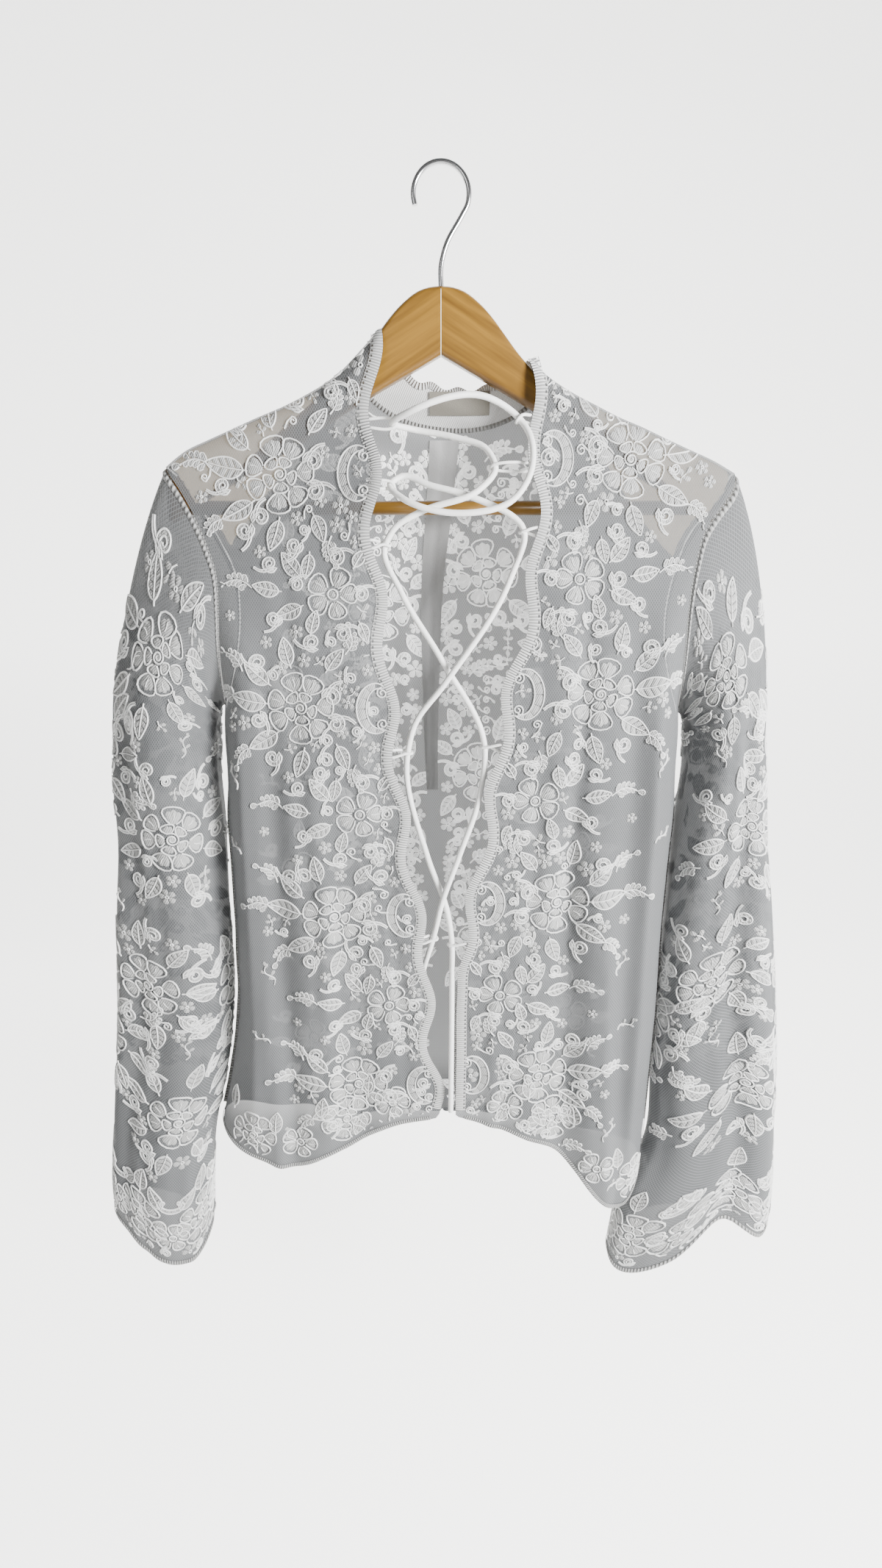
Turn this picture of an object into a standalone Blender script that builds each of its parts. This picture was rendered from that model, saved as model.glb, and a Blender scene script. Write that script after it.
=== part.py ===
"""A lace shirt with a laced, open front, hung on a wooden hanger.

The tables are in millimetres. x runs to the viewer's right, y away from the viewer, and a drop is a distance
below the rod. The origin is where the rod touches the inside of the hook. A garment panel is laid out flat in
x and drop, and body_point() puts each flat place on the hanging form. Left and right are the viewer's.
"""

import math
from collections import namedtuple

import bmesh
import bpy
import numpy as np
from mathutils import Matrix

MM = 0.001
LEFT = -1
RIGHT = 1
FRONT = -1
BACK = 1

# Cloth
CLOTH_WALL = 1.0
SEAM_GAP = 0.3
SIDE_SEAM_GAP = 0.5
LAYER_STEP = CLOTH_WALL + SEAM_GAP
ARMHOLE_STEP = 2.0
INSIDE_EASE = 0.5
CREST_HALF = 12.0
CREST_FALL = 15.0
FALL_TO_FULL_DEPTH = 150.0
SIDE_REACH = 34.0
SIDE_TURN_LENGTH = 36.0
SCALLOP_PITCH = 78.0
SCALLOP_HEIGHT = 4.0
NECK_SCALLOP_PITCH = 19.0
NECK_SCALLOP_HEIGHT = 1.6
FRONT_ROWS = 34
CREST_STEPS = (0.0, 1.2, 4.0, 9.0)
CREST_EVEN = 17.0
FRONT_COLUMNS = 10
BACK_ROWS = 18
NEAREST_COLUMN = 5.0
BAND_SHARES = (0, 0.02, 0.06, 0.13, 0.24, 0.37, 0.5, 0.63, 0.76, 0.87, 0.94, 0.98, 1)
SHOULDER_COLUMNS = 5
SLEEVE_HEAD_RINGS = 8
SLEEVE_ARM_RINGS = 15
SLEEVE_SIDES = 18

# Pads and label
PAD_COLUMNS = 8
PAD_ROWS = 11
PAD_THINNEST = 1.4
PAD_EASE = 0.6
PAD_CREST = 12.0
PAD_ARMHOLE_GAP = 5.0
LABEL_LEFT = -8.0
LABEL_WIDTH = 42.0
LABEL_TOP = 127.5
LABEL_HEIGHT = 15.0

# Lacing
CORD_DIAMETER = 4.2
CORD_POINTS = 140
CORD_STEPS_BETWEEN = 10
LOOP_DIAMETER = 2.0
WRONG_SIDE_EASE = 0.3

# Hanger
ARM_THICKNESS = 12.0
ARM_EDGE_ROUND = 3.0
MITRE_GAP = 0.3
BAR_DIAMETER = 9.5
BAR_DROP = 205.0
BAR_HALF_LENGTH = 184.0
BAR_HOLE_CLEARANCE = 0.6
WIRE_DIAMETER = 3.6
HOOK_INNER_RADIUS = 16.0
STEM_SUNK = 0.9

Shoulder = namedtuple("Shoulder", "x drop")
SHOULDER_LINE = (
    Shoulder(-196, 183),
    Shoulder(-190, 178),
    Shoulder(-176, 168),
    Shoulder(-160, 161),
    Shoulder(-144, 154.5),
    Shoulder(-127, 147.5),
    Shoulder(-105, 139),
    Shoulder(-90, 132),
    Shoulder(-78, 125.5),
    Shoulder(-67, 118),
    Shoulder(-53, 105),
    Shoulder(-41, 93.5),
    Shoulder(-20, 84),
    Shoulder(10, 80),
    Shoulder(35, 91),
    Shoulder(58, 110.5),
    Shoulder(70, 120),
    Shoulder(80, 126.5),
    Shoulder(91, 132.5),
    Shoulder(105, 139),
    Shoulder(120, 146),
    Shoulder(138, 153),
    Shoulder(153, 159.5),
    Shoulder(171, 167),
    Shoulder(190, 175),
    Shoulder(203, 182),
)
NECK_POINT_X = {LEFT: -41.0, RIGHT: 58.0}
SHOULDER_POINT_X = {LEFT: -190.0, RIGHT: 203.0}
BAND_END_X = {LEFT: -62.0, RIGHT: 78.0}

Depth = namedtuple("Depth", "drop front back")
BODY_DEPTH = (
    Depth(90, 24, 24),
    Depth(200, 36, 30),
    Depth(300, 37, 33),
    Depth(400, 38, 33),
    Depth(550, 36, 31),
    Depth(700, 33, 27),
    Depth(800, 31, 25),
)

Opening = namedtuple("Opening", "drop x")
LEFT_OPENING = (
    Opening(94, -41),
    Opening(120, -43),
    Opening(144, -44),
    Opening(185, -43),
    Opening(225, -43.5),
    Opening(266, -40),
    Opening(304, -36),
    Opening(341, -33),
    Opening(385, -30.5),
    Opening(422, -26),
    Opening(460, -21.5),
    Opening(500, -15),
    Opening(540, -10),
    Opening(580, -8),
    Opening(620, -7),
    Opening(655, -1),
    Opening(682, 1),
)
RIGHT_OPENING = (
    Opening(110, 58),
    Opening(144, 59.5),
    Opening(170, 62),
    Opening(205, 63),
    Opening(240, 61.5),
    Opening(265, 59.5),
    Opening(292, 54.5),
    Opening(322, 47.5),
    Opening(350, 43),
    Opening(388, 37),
    Opening(424, 34),
    Opening(450, 29),
    Opening(476, 24),
    Opening(508, 19),
    Opening(540, 15),
    Opening(576, 12.5),
    Opening(615, 12.5),
    Opening(682, 12),
)
# The lowest scallops of the right front are turned under, so its edge is straight from fade_start on.
Edging = namedtuple("Edging", "opening crest fade_start fade_end hem_drop")
EDGING = {
    LEFT: Edging(LEFT_OPENING, 341.0, 700.0, 760.0, 680.0),
    RIGHT: Edging(RIGHT_OPENING, 327.0, 520.0, 570.0, 681.0),
}

# Armhole seam from the shoulder point to the underarm, then side seam to the hem. turn is how far the cloth
# has turned round the side there, in degrees: 90 is the side seam itself.
Outer = namedtuple("Outer", "drop x turn")
OUTER_EDGE = {
    LEFT: (
        Outer(178, -190, 0),
        Outer(192, -180, 0),
        Outer(213, -168, 0),
        Outer(228, -161, 2),
        Outer(248, -154, 8),
        Outer(275, -153, 20),
        Outer(300, -155, 38),
        Outer(325, -158, 64),
        Outer(345, -161, 90),
        Outer(420, -162, 90),
        Outer(480, -162, 90),
        Outer(540, -163, 90),
        Outer(600, -166, 90),
        Outer(663, -177, 90),
        Outer(705, -187, 90),
        Outer(745, -193, 90),
    ),
    RIGHT: (
        Outer(182, 203, 0),
        Outer(196, 199, 0),
        Outer(208, 190, 0),
        Outer(222, 181, 2),
        Outer(243, 175, 8),
        Outer(270, 171, 20),
        Outer(300, 171, 38),
        Outer(328, 174, 64),
        Outer(350, 177, 90),
        Outer(400, 178, 90),
        Outer(461, 176, 90),
        Outer(527, 175, 90),
        Outer(597, 176, 90),
        Outer(650, 175, 90),
        Outer(700, 174, 90),
        Outer(790, 172, 90),
    ),
}
UNDERARM_DROP = {LEFT: 345.0, RIGHT: 350.0}

Hem = namedtuple("Hem", "x drop")
FRONT_HEM = {
    LEFT: (
        Hem(1, 680),
        Hem(-32, 692),
        Hem(-62, 704),
        Hem(-92, 718),
        Hem(-120, 734),
        Hem(-152, 722),
        Hem(-208, 704),
    ),
    RIGHT: (
        Hem(12, 681),
        Hem(35, 692),
        Hem(70, 702),
        Hem(91, 713),
        Hem(112, 738),
        Hem(135, 766),
        Hem(158, 775),
        Hem(196, 748),
    ),
}
BACK_HEM = {
    LEFT: (Hem(1, 722), Hem(-50, 726), Hem(-100, 724), Hem(-150, 716), Hem(-208, 704)),
    RIGHT: (Hem(1, 722), Hem(50, 728), Hem(100, 738), Hem(150, 744), Hem(196, 748)),
}

CENTRE_BACK = (
    Opening(153, 3),
    Opening(200, -1),
    Opening(250, -6),
    Opening(350, -8),
    Opening(500, -5),
    Opening(722, 1),
)
Band = namedtuple("Band", "x drop")
BAND_TOP = (
    Band(-41, 93.5),
    Band(-36, 104),
    Band(-22, 117),
    Band(0, 124),
    Band(20, 126),
    Band(40, 121),
    Band(52, 115),
    Band(58, 110.5),
)
BAND_SEAM = (
    Band(-62, 113.6),
    Band(-52, 131),
    Band(-32, 145),
    Band(3, 153),
    Band(24, 153),
    Band(48, 147),
    Band(68, 134),
    Band(78, 125.4),
)

# Soft lengthwise folds of the panels: a ridge where lift is positive and a trough where it is negative.
Fold = namedtuple("Fold", "x top bottom width lift lean")
FRONT_FOLDS = {
    LEFT: (
        Fold(-96, 330, 760, 15, 4.5, -8),
        Fold(-122, 250, 700, 11, -4.0, -4),
        Fold(-70, 470, 740, 12, -3.0, 6),
        Fold(-135, 520, 760, 12, 4.0, -6),
        Fold(-60, 180, 420, 14, 2.0, 4),
    ),
    RIGHT: (
        Fold(118, 420, 800, 15, 6.0, 12),
        Fold(94, 360, 760, 12, -4.0, 8),
        Fold(138, 240, 700, 11, -4.0, 6),
        Fold(62, 470, 720, 13, 3.0, 6),
        Fold(86, 190, 420, 14, 2.0, -4),
    ),
}
BACK_FOLDS = {
    LEFT: (
        Fold(-45, 260, 740, 16, 4.0, -6),
        Fold(-85, 320, 740, 14, -3.5, -8),
        Fold(-120, 240, 720, 14, 4.0, -4),
    ),
    RIGHT: (
        Fold(38, 300, 740, 15, -3.5, 4),
        Fold(76, 260, 760, 16, 4.5, 8),
        Fold(124, 330, 760, 14, -4.0, 6),
    ),
}

Sleeve = namedtuple("Sleeve", "drop outer inner front back")
SLEEVE_SECTIONS = {
    LEFT: (
        Sleeve(362, -243, -167, -39, 36),
        Sleeve(400, -248, -170, -39, 36),
        Sleeve(446, -250, -171, -38, 34),
        Sleeve(508, -259, -172, -36, 30),
        Sleeve(557, -264, -173, -34, 28),
        Sleeve(608, -269, -176, -33, 25),
        Sleeve(662, -277, -185, -32, 22),
        Sleeve(717, -284, -198, -32, 19),
        Sleeve(768, -290, -204, -32, 17),
        Sleeve(840, -291, -207, -32, 16),
    ),
    RIGHT: (
        Sleeve(362, 242, 184, -38, 38),
        Sleeve(400, 248, 186, -38, 38),
        Sleeve(446, 255, 185, -37, 38),
        Sleeve(508, 266, 184, -34, 36),
        Sleeve(557, 274, 184, -31, 35),
        Sleeve(608, 282, 184, -28, 34),
        Sleeve(662, 289, 184, -26, 33),
        Sleeve(735, 296, 183, -24, 32),
        Sleeve(785, 300, 166, -22, 30),
        Sleeve(870, 303, 154, -22, 28),
    ),
}
# The lower edge of the cuff round the arm: 0 is the outer side, 0.25 the front, 0.5 the inner side and 0.75
# the back.
Cuff = namedtuple("Cuff", "around drop")
CUFF_EDGE = {
    LEFT: (
        Cuff(0.0, 790),
        Cuff(0.12, 806),
        Cuff(0.25, 832),
        Cuff(0.36, 838),
        Cuff(0.5, 806),
        Cuff(0.7, 812),
        Cuff(0.85, 798),
    ),
    RIGHT: (
        Cuff(0.0, 806),
        Cuff(0.1, 826),
        Cuff(0.21, 806),
        Cuff(0.3, 848),
        Cuff(0.4, 868),
        Cuff(0.5, 852),
        Cuff(0.62, 838),
        Cuff(0.78, 826),
        Cuff(0.9, 812),
    ),
}
Crease = namedtuple("Crease", "around top bottom width lift")
SLEEVE_CREASES = {
    LEFT: (
        Crease(0.16, 300, 800, 0.045, -4.0),
        Crease(0.30, 400, 860, 0.05, 3.0),
        Crease(0.42, 330, 700, 0.04, -3.0),
        Crease(0.66, 320, 800, 0.05, -4.0),
        Crease(0.84, 420, 840, 0.05, 3.0),
    ),
    RIGHT: (
        Crease(0.14, 420, 860, 0.04, 3.5),
        Crease(0.22, 300, 860, 0.045, -6.0),
        Crease(0.36, 380, 800, 0.045, 3.0),
        Crease(0.62, 320, 860, 0.05, -4.0),
        Crease(0.82, 420, 840, 0.05, 3.5),
    ),
}

# The pads lie under the shoulders. reach is how far each hangs below the crest, at that share of its width
# from the inner tip to the sleeve end.
Pad = namedtuple("Pad", "share front_reach back_reach thickness")
PAD_FORM = (
    Pad(0.0, 6, 8, 1.4),
    Pad(0.25, 17, 34, 1.8),
    Pad(0.5, 27, 56, 2.4),
    Pad(0.75, 36, 70, 3.0),
    Pad(1.0, 40, 66, 3.0),
)
PAD_ENDS = {LEFT: (-86.0, -186.0), RIGHT: (96.0, 198.0)}

# ease is the room between the loop and the cord, which is greatest where the cord bends sharply.
Loop = namedtuple("Loop", "side root_x tip_x depth drop ease")
LACE_LOOPS = (
    Loop(LEFT, -55, -33, -16, 153, 0.8),
    Loop(LEFT, -54, -34.5, -23, 192, 1.2),
    Loop(LEFT, -56, -38, -30.5, 230, 0.45),
    Loop(LEFT, -45, -24.5, -31.5, 374, 0.45),
    Loop(LEFT, -30, -6, -30.5, 522, 0.75),
    Loop(RIGHT, 72, 53, -16, 150, 0.8),
    Loop(RIGHT, 74, 36.5, -21, 181, 0.75),
    Loop(RIGHT, 72, 56, -29, 222, 0.7),
    Loop(RIGHT, 56, 31.5, -31, 370, 0.45),
    Loop(RIGHT, 30, 8.5, -30.5, 527, 0.45),
)

Bend = namedtuple("Bend", "x y drop")
CORD_ROUTE = (
    Bend(8.0, -38.0, 674),
    Bend(8.5, -34.0, 555),
    Bend(8.5, -30.5, 527),
    Bend(5.0, -31.0, 500),
    Bend(-10.0, -31.5, 455),
    Bend(-24.5, -31.5, 378),
    Bend(-19.0, -34.0, 354),
    Bend(3.0, -38.0, 323),
    Bend(47.0, -33.0, 253),
    Bend(56.0, -29.0, 222),
    Bend(18.0, -25.5, 199),
    Bend(-8.0, -21.5, 192),
    Bend(-26.0, -18.5, 186),
    Bend(-34.5, -23.0, 192),
    Bend(-26.0, -33.0, 201),
    Bend(10.0, -39.0, 211),
    Bend(48.0, -36.0, 202),
    Bend(60.0, -28.5, 182),
    Bend(59.5, -23.0, 163),
    Bend(51.0, -16.0, 149),
    Bend(30.0, -21.0, 138),
    Bend(-22.0, -26.5, 148.5),
    Bend(-33.0, -16.0, 153),
    Bend(-22.0, -6.0, 154.5),
    Bend(12.0, -8.0, 161),
    Bend(30.0, -14.0, 168),
    Bend(36.5, -21.0, 181),
    Bend(25.0, -31.0, 196),
    Bend(-14.0, -32.0, 210),
    Bend(-31.0, -31.5, 220),
    Bend(-38.0, -30.5, 232),
    Bend(-27.0, -31.5, 262),
    Bend(0.0, -31.0, 307),
    Bend(31.5, -31.0, 370),
    Bend(28.0, -33.0, 408),
    Bend(14.0, -37.5, 450),
    Bend(1.0, -36.0, 489),
    Bend(-6.0, -30.5, 522),
    Bend(-14.0, -26.0, 552),
    Bend(-16.0, -24.0, 664),
)

ArmEdge = namedtuple("ArmEdge", "x drop")
ARM_TOP = (
    ArmEdge(0, 68.5),
    ArmEdge(7, 69),
    ArmEdge(14, 71),
    ArmEdge(26, 79),
    ArmEdge(35, 88),
    ArmEdge(42, 96.5),
    ArmEdge(52, 108.5),
    ArmEdge(62, 118.5),
    ArmEdge(80, 131.5),
    ArmEdge(105, 146),
    ArmEdge(130, 157.5),
    ArmEdge(160, 171),
    ArmEdge(182, 184),
    ArmEdge(191, 191),
)
ARM_UNDERSIDE = (
    ArmEdge(191, 215.5),
    ArmEdge(150, 192),
    ArmEdge(105, 167.5),
    ArmEdge(63, 142.5),
    ArmEdge(0, 109),
)


def smooth_values(keys, values, at):
    """Values read at any place along increasing keys, on a smooth curve through the given ones."""
    keys = np.asarray(keys, float)
    values = np.asarray(values, float)
    slopes = np.gradient(values, keys)
    place = np.clip(at, keys[0], keys[-1])
    first = np.clip(np.searchsorted(keys, place) - 1, 0, len(keys) - 2)
    span = keys[first + 1] - keys[first]
    part = (place - keys[first]) / span
    start_weight = 2 * part**3 - 3 * part**2 + 1
    start_slope = part**3 - 2 * part**2 + part
    end_weight = 3 * part**2 - 2 * part**3
    end_slope = part**3 - part**2
    return (
        start_weight * values[first]
        + start_slope * span * slopes[first]
        + end_weight * values[first + 1]
        + end_slope * span * slopes[first + 1]
    )


def column_at(table, column, key, at):
    """One column of a table of rows, read by its key column."""
    keys = [getattr(row, key) for row in table]
    values = [getattr(row, column) for row in table]
    if keys[0] > keys[-1]:
        keys.reverse()
        values.reverse()
    return smooth_values(keys, values, at)


def smooth_step(part):
    part = np.clip(part, 0.0, 1.0)
    return part * part * (3 - 2 * part)


def smooth_path(points, shares):
    """Places along a smooth curve through the points, at shares of its length or at that many even ones."""
    points = np.asarray(points, float)
    reach = np.concatenate([[0.0], np.cumsum(np.linalg.norm(np.diff(points, axis=0), axis=1))])
    fine = np.linspace(0.0, reach[-1], 12 * len(points))
    curve = np.stack([smooth_values(reach, points[:, axis], fine) for axis in range(points.shape[1])], axis=1)
    length = np.concatenate([[0.0], np.cumsum(np.linalg.norm(np.diff(curve, axis=0), axis=1))])
    if isinstance(shares, int):
        shares = np.linspace(0.0, 1.0, shares)
    even = np.asarray(shares) * length[-1]
    return np.stack([np.interp(even, length, curve[:, axis]) for axis in range(points.shape[1])], axis=1)


def crest_drop(x):
    """The drop of the top of the cloth, where it goes over the hanger."""
    return column_at(SHOULDER_LINE, "drop", "x", x)


def fold_lift(folds, x, drop):
    lift = 0.0
    for fold in folds:
        fade = smooth_step((drop - fold.top) / 90.0) * smooth_step((fold.bottom + 60.0 - drop) / 120.0)
        middle = fold.x + fold.lean * (drop - fold.top) / (fold.bottom - fold.top)
        lift = lift + fold.lift * fade * math.exp(-(((x - middle) / fold.width) ** 2))
    return lift


def side_turn(side, drop):
    """How far the cloth has turned at its outer edge, up to a quarter turn at the side seam."""
    return math.radians(min(max(float(column_at(OUTER_EDGE[side], "turn", "drop", drop)), 0.0), 90.0))


def body_point(side, facing, x, drop):
    """The place on the hanging form of a flat place in x and drop."""
    outer = OUTER_EDGE[side]
    turn_end = side_turn(side, drop)
    seam_x = float(column_at(outer, "x", "drop", drop))
    bend_x = seam_x - side * SIDE_REACH * math.sin(turn_end)
    turn = max(0.0, side * (x - bend_x) / SIDE_TURN_LENGTH)
    place_x = x if turn == 0.0 else bend_x + side * SIDE_REACH * math.sin(turn)
    below = drop - float(crest_drop(place_x))
    near_crest = min(max(below / CREST_FALL, 0.0), 1.0)
    depth = CREST_HALF * math.sqrt(1 - (1 - near_crest) ** 2)
    full = float(column_at(BODY_DEPTH, "front" if facing == FRONT else "back", "drop", drop))
    depth += (full - CREST_HALF) * float(smooth_step(below / FALL_TO_FULL_DEPTH))
    folds = (FRONT_FOLDS if facing == FRONT else BACK_FOLDS)[side]
    depth += fold_lift(folds, x, drop) * float(smooth_step(below / FALL_TO_FULL_DEPTH))
    return np.array([place_x, facing * depth * math.cos(turn), -drop])


def flat_outer_x(side, drop):
    """The flat x of a panel's outer edge."""
    outer = OUTER_EDGE[side]
    turn_end = side_turn(side, drop)
    seam_x = float(column_at(outer, "x", "drop", drop))
    return seam_x - side * SIDE_REACH * math.sin(turn_end) + side * SIDE_TURN_LENGTH * turn_end


def opening_x(side, drop):
    """The scalloped front edge."""
    edging = EDGING[side]
    scallop = math.cos(2 * math.pi * (drop - edging.crest) / SCALLOP_PITCH)
    kept = 1.0 - float(smooth_step((drop - edging.fade_start) / (edging.fade_end - edging.fade_start)))
    return float(column_at(edging.opening, "x", "drop", drop)) - side * SCALLOP_HEIGHT * scallop * kept


def patch(top, bottom, inner, outer):
    """A flat grid between four edges: rows run down, columns run from the inner to the outer edge."""
    rows = len(inner)
    columns = len(top)
    grid = np.zeros((rows, columns, 2))
    for row in range(rows):
        down = (outer[row, 1] - outer[0, 1]) / (outer[-1, 1] - outer[0, 1])
        for column in range(columns):
            across = column / (columns - 1)
            ruled_down = (1 - down) * top[column] + down * bottom[column]
            ruled_across = (1 - across) * inner[row] + across * outer[row]
            corners = (1 - down) * ((1 - across) * top[0] + across * top[-1])
            corners = corners + down * ((1 - across) * bottom[0] + across * bottom[-1])
            grid[row, column] = ruled_down + ruled_across - corners
    return grid


def drops_down(first, last, rows):
    """Drops of a panel's rows: close together over the crest, then even."""
    return np.concatenate([first + np.array(CREST_STEPS), np.linspace(first + CREST_EVEN, last, rows)])


def front_grid(side):
    """The flat grid of one front: shoulder seam, front edge, hem, armhole and side seam."""
    edging = EDGING[side]
    neck_x = NECK_POINT_X[side]
    point_x = SHOULDER_POINT_X[side] - side * SEAM_GAP
    top_x = np.linspace(neck_x, point_x, FRONT_COLUMNS)
    top = np.stack([top_x, crest_drop(top_x) + SEAM_GAP], axis=1)
    drops = drops_down(top[0, 1], edging.hem_drop, FRONT_ROWS)
    inner = np.array([[opening_x(side, drop), drop] for drop in drops])
    inner[0] = top[0]
    hem_end = FRONT_HEM[side][-1].drop
    outer_drops = drops_down(top[-1, 1], hem_end, FRONT_ROWS)
    outer = np.array([[flat_outer_x(side, drop) - side * SIDE_SEAM_GAP, drop] for drop in outer_drops])
    outer[0] = top[-1]
    hem_x = np.linspace(inner[-1, 0], outer[-1, 0], FRONT_COLUMNS)
    bottom = np.stack([hem_x, column_at(FRONT_HEM[side], "drop", "x", hem_x)], axis=1)
    bottom[0] = inner[-1]
    bottom[-1] = outer[-1]
    return patch(top, bottom, inner, outer)


def back_grid(side):
    """The flat grid of one back: neck and shoulder seams, centre-back seam, hem, armhole and side seam."""
    seam = band_grid()[-1]
    centre_x = CENTRE_BACK[0].x + side * SEAM_GAP / 2
    beside = sorted((abs(x), x, drop) for x, drop in seam if side * (x - centre_x) > NEAREST_COLUMN)
    neck = [(centre_x, np.interp(centre_x, seam[:, 0], seam[:, 1]))]
    neck += [(x, drop) for _, x, drop in beside[:-1]]
    neck = np.array(neck) + (0.0, 2 * SEAM_GAP)
    point_x = SHOULDER_POINT_X[side] - side * SEAM_GAP
    shoulder_x = np.linspace(BAND_END_X[side] + side * 2 * SEAM_GAP, point_x, SHOULDER_COLUMNS)
    shoulder = np.stack([shoulder_x, crest_drop(shoulder_x) + SEAM_GAP], axis=1)
    top = np.concatenate([neck, shoulder])
    drops = drops_down(top[0, 1], BACK_HEM[side][0].drop, BACK_ROWS)
    centre_x = column_at(CENTRE_BACK, "x", "drop", drops) + side * SEAM_GAP / 2
    inner = np.stack([centre_x, drops], axis=1)
    outer_drops = drops_down(top[-1, 1], BACK_HEM[side][-1].drop, BACK_ROWS)
    outer = np.array([[flat_outer_x(side, drop) - side * SIDE_SEAM_GAP, drop] for drop in outer_drops])
    inner[0] = top[0]
    outer[0] = top[-1]
    hem_x = np.linspace(inner[-1, 0], outer[-1, 0], len(top))
    bottom = np.stack([hem_x, column_at(BACK_HEM[side], "drop", "x", hem_x)], axis=1)
    bottom[0] = inner[-1]
    bottom[-1] = outer[-1]
    return patch(top, bottom, inner, outer)


def on_body(grid, side, facing):
    return np.array([[body_point(side, facing, x, drop) for x, drop in row] for row in grid])


def colour_of(name, colour, roughness, metallic=0.0):
    material = bpy.data.materials.new(name)
    material.use_nodes = True
    shader = material.node_tree.nodes["Principled BSDF"]
    shader.inputs["Base Color"].default_value = (*colour, 1.0)
    shader.inputs["Roughness"].default_value = roughness
    shader.inputs["Metallic"].default_value = metallic
    return material


def lace_white(name):
    return colour_of(name, (0.78, 0.77, 0.75), 0.8)


def object_of(name, mesh, material):
    body = bpy.data.objects.new(name, mesh)
    bpy.context.scene.collection.objects.link(body)
    mesh.materials.append(material)
    return body


def face_outwards(shape):
    bmesh.ops.recalc_face_normals(shape, faces=shape.faces)
    if shape.calc_volume(signed=True) < 0:
        bmesh.ops.reverse_faces(shape, faces=shape.faces)


def surface_mesh(name, places, closed):
    """A bmesh grid moved onto the places, in rows and columns. A closed one joins up across its columns."""
    rows, columns = places.shape[:2]
    across = columns + 1 if closed else columns
    shape = bmesh.new()
    bmesh.ops.create_grid(shape, x_segments=across - 1, y_segments=rows - 1, size=1.0)
    for vertex in shape.verts:
        column = round((vertex.co.x + 1) / 2 * (across - 1))
        row = round((1 - vertex.co.y) / 2 * (rows - 1))
        vertex.co = places[row, column % columns] * MM
    if closed:
        bmesh.ops.remove_doubles(shape, verts=shape.verts, dist=1e-6)
    mesh = bpy.data.meshes.new(name)
    shape.to_mesh(mesh)
    shape.free()
    mesh.shade_smooth()
    return mesh


def cloth_wall(name, places, closed=False, wall=CLOTH_WALL):
    """A cloth piece: the surface given a wall of even thickness, half to each side."""
    body = object_of(name, surface_mesh(name, places, closed), lace_white(name))
    thickness = body.modifiers.new("Cloth wall", "SOLIDIFY")
    thickness.thickness = wall * MM
    thickness.offset = 0.0
    thickness.use_even_offset = True
    thickness.use_quality_normals = True
    return body


def normals_of(places, closed):
    """Unit normals of a surface given in rows and columns."""
    down = np.gradient(places, axis=0)
    if closed:
        across = np.roll(places, -1, axis=1) - np.roll(places, 1, axis=1)
    else:
        across = np.gradient(places, axis=1)
    normals = np.cross(across, down)
    return normals / np.linalg.norm(normals, axis=2, keepdims=True)


def make_fronts():
    for side, name in ((LEFT, "front_left"), (RIGHT, "front_right")):
        cloth_wall(name, on_body(front_grid(side), side, FRONT))


def make_backs():
    for side, name in ((LEFT, "back_left"), (RIGHT, "back_right")):
        cloth_wall(name, on_body(back_grid(side), side, BACK))


def band_grid(rows=3):
    """The flat grid of the band round the back neck, from its scalloped top edge to its seam."""
    top = smooth_path([(band.x, band.drop + SEAM_GAP) for band in BAND_TOP], BAND_SHARES)
    along = np.concatenate([[0.0], np.cumsum(np.linalg.norm(np.diff(top, axis=0), axis=1))])
    fade = np.sin(math.pi * along / along[-1])
    top[:, 1] += NECK_SCALLOP_HEIGHT * fade * np.cos(2 * math.pi * along / NECK_SCALLOP_PITCH)
    bottom = smooth_path([(band.x, band.drop) for band in BAND_SEAM], BAND_SHARES)
    share = np.linspace(0.0, 1.0, rows)[:, None, None]
    return (1 - share) * top[None] + share * bottom[None]


def band_side(x):
    return LEFT if x < CENTRE_BACK[0].x else RIGHT


def make_neck_band():
    grid = band_grid()
    places = np.array([[body_point(band_side(x), BACK, x, drop) for x, drop in row] for row in grid])
    cloth_wall("back_neck_band", places)


def inside_back(grid, depth):
    """Places of a flat grid on the back, moved towards the viewer by depth."""
    places = np.array([[body_point(band_side(x), BACK, x, drop) for x, drop in row] for row in grid])
    return places - depth * np.abs(normals_of(places, False)[..., 1:2]) * np.array([0.0, 1.0, 0.0])


def make_neck_label():
    xs = np.linspace(LABEL_LEFT, LABEL_LEFT + LABEL_WIDTH, 5)
    drops = np.linspace(LABEL_TOP, LABEL_TOP + LABEL_HEIGHT, 3)
    grid = np.array([[(x, drop) for x in xs] for drop in drops])
    label = cloth_wall("neck_label", inside_back(grid, LAYER_STEP + INSIDE_EASE))
    label.data.materials[0] = colour_of("neck_label", (0.45, 0.42, 0.36), 0.7)


def make_seam_allowance():
    """The allowance of the centre-back seam, pressed open inside the back and narrower lower down."""
    drops = np.linspace(158, 420, 13)
    widths = np.interp(drops, (158, 230, 420), (21.0, 18.0, 9.0))
    centres = column_at(CENTRE_BACK, "x", "drop", drops)
    shares = np.linspace(-0.5, 0.5, 4)
    rows = zip(centres, widths, drops)
    grid = np.array([[(x + width * share, drop) for share in shares] for x, width, drop in rows])
    cloth_wall("back_seam_allowance", inside_back(grid, LAYER_STEP + INSIDE_EASE))


def armhole_ring(side):
    """The seam round the arm: from the shoulder point down the front to the underarm, and up the back."""
    drops = np.linspace(crest_drop(SHOULDER_POINT_X[side]), UNDERARM_DROP[side], 40)
    lines = []
    for facing in (FRONT, BACK):
        line = np.array([body_point(side, facing, flat_outer_x(side, drop), drop) for drop in drops])
        line[0] = (SHOULDER_POINT_X[side], 0.0, -drops[0])
        lines.append(smooth_path(line, SLEEVE_SIDES // 2 + 1))
    return np.concatenate([lines[0], lines[1][-2:0:-1]])


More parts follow.
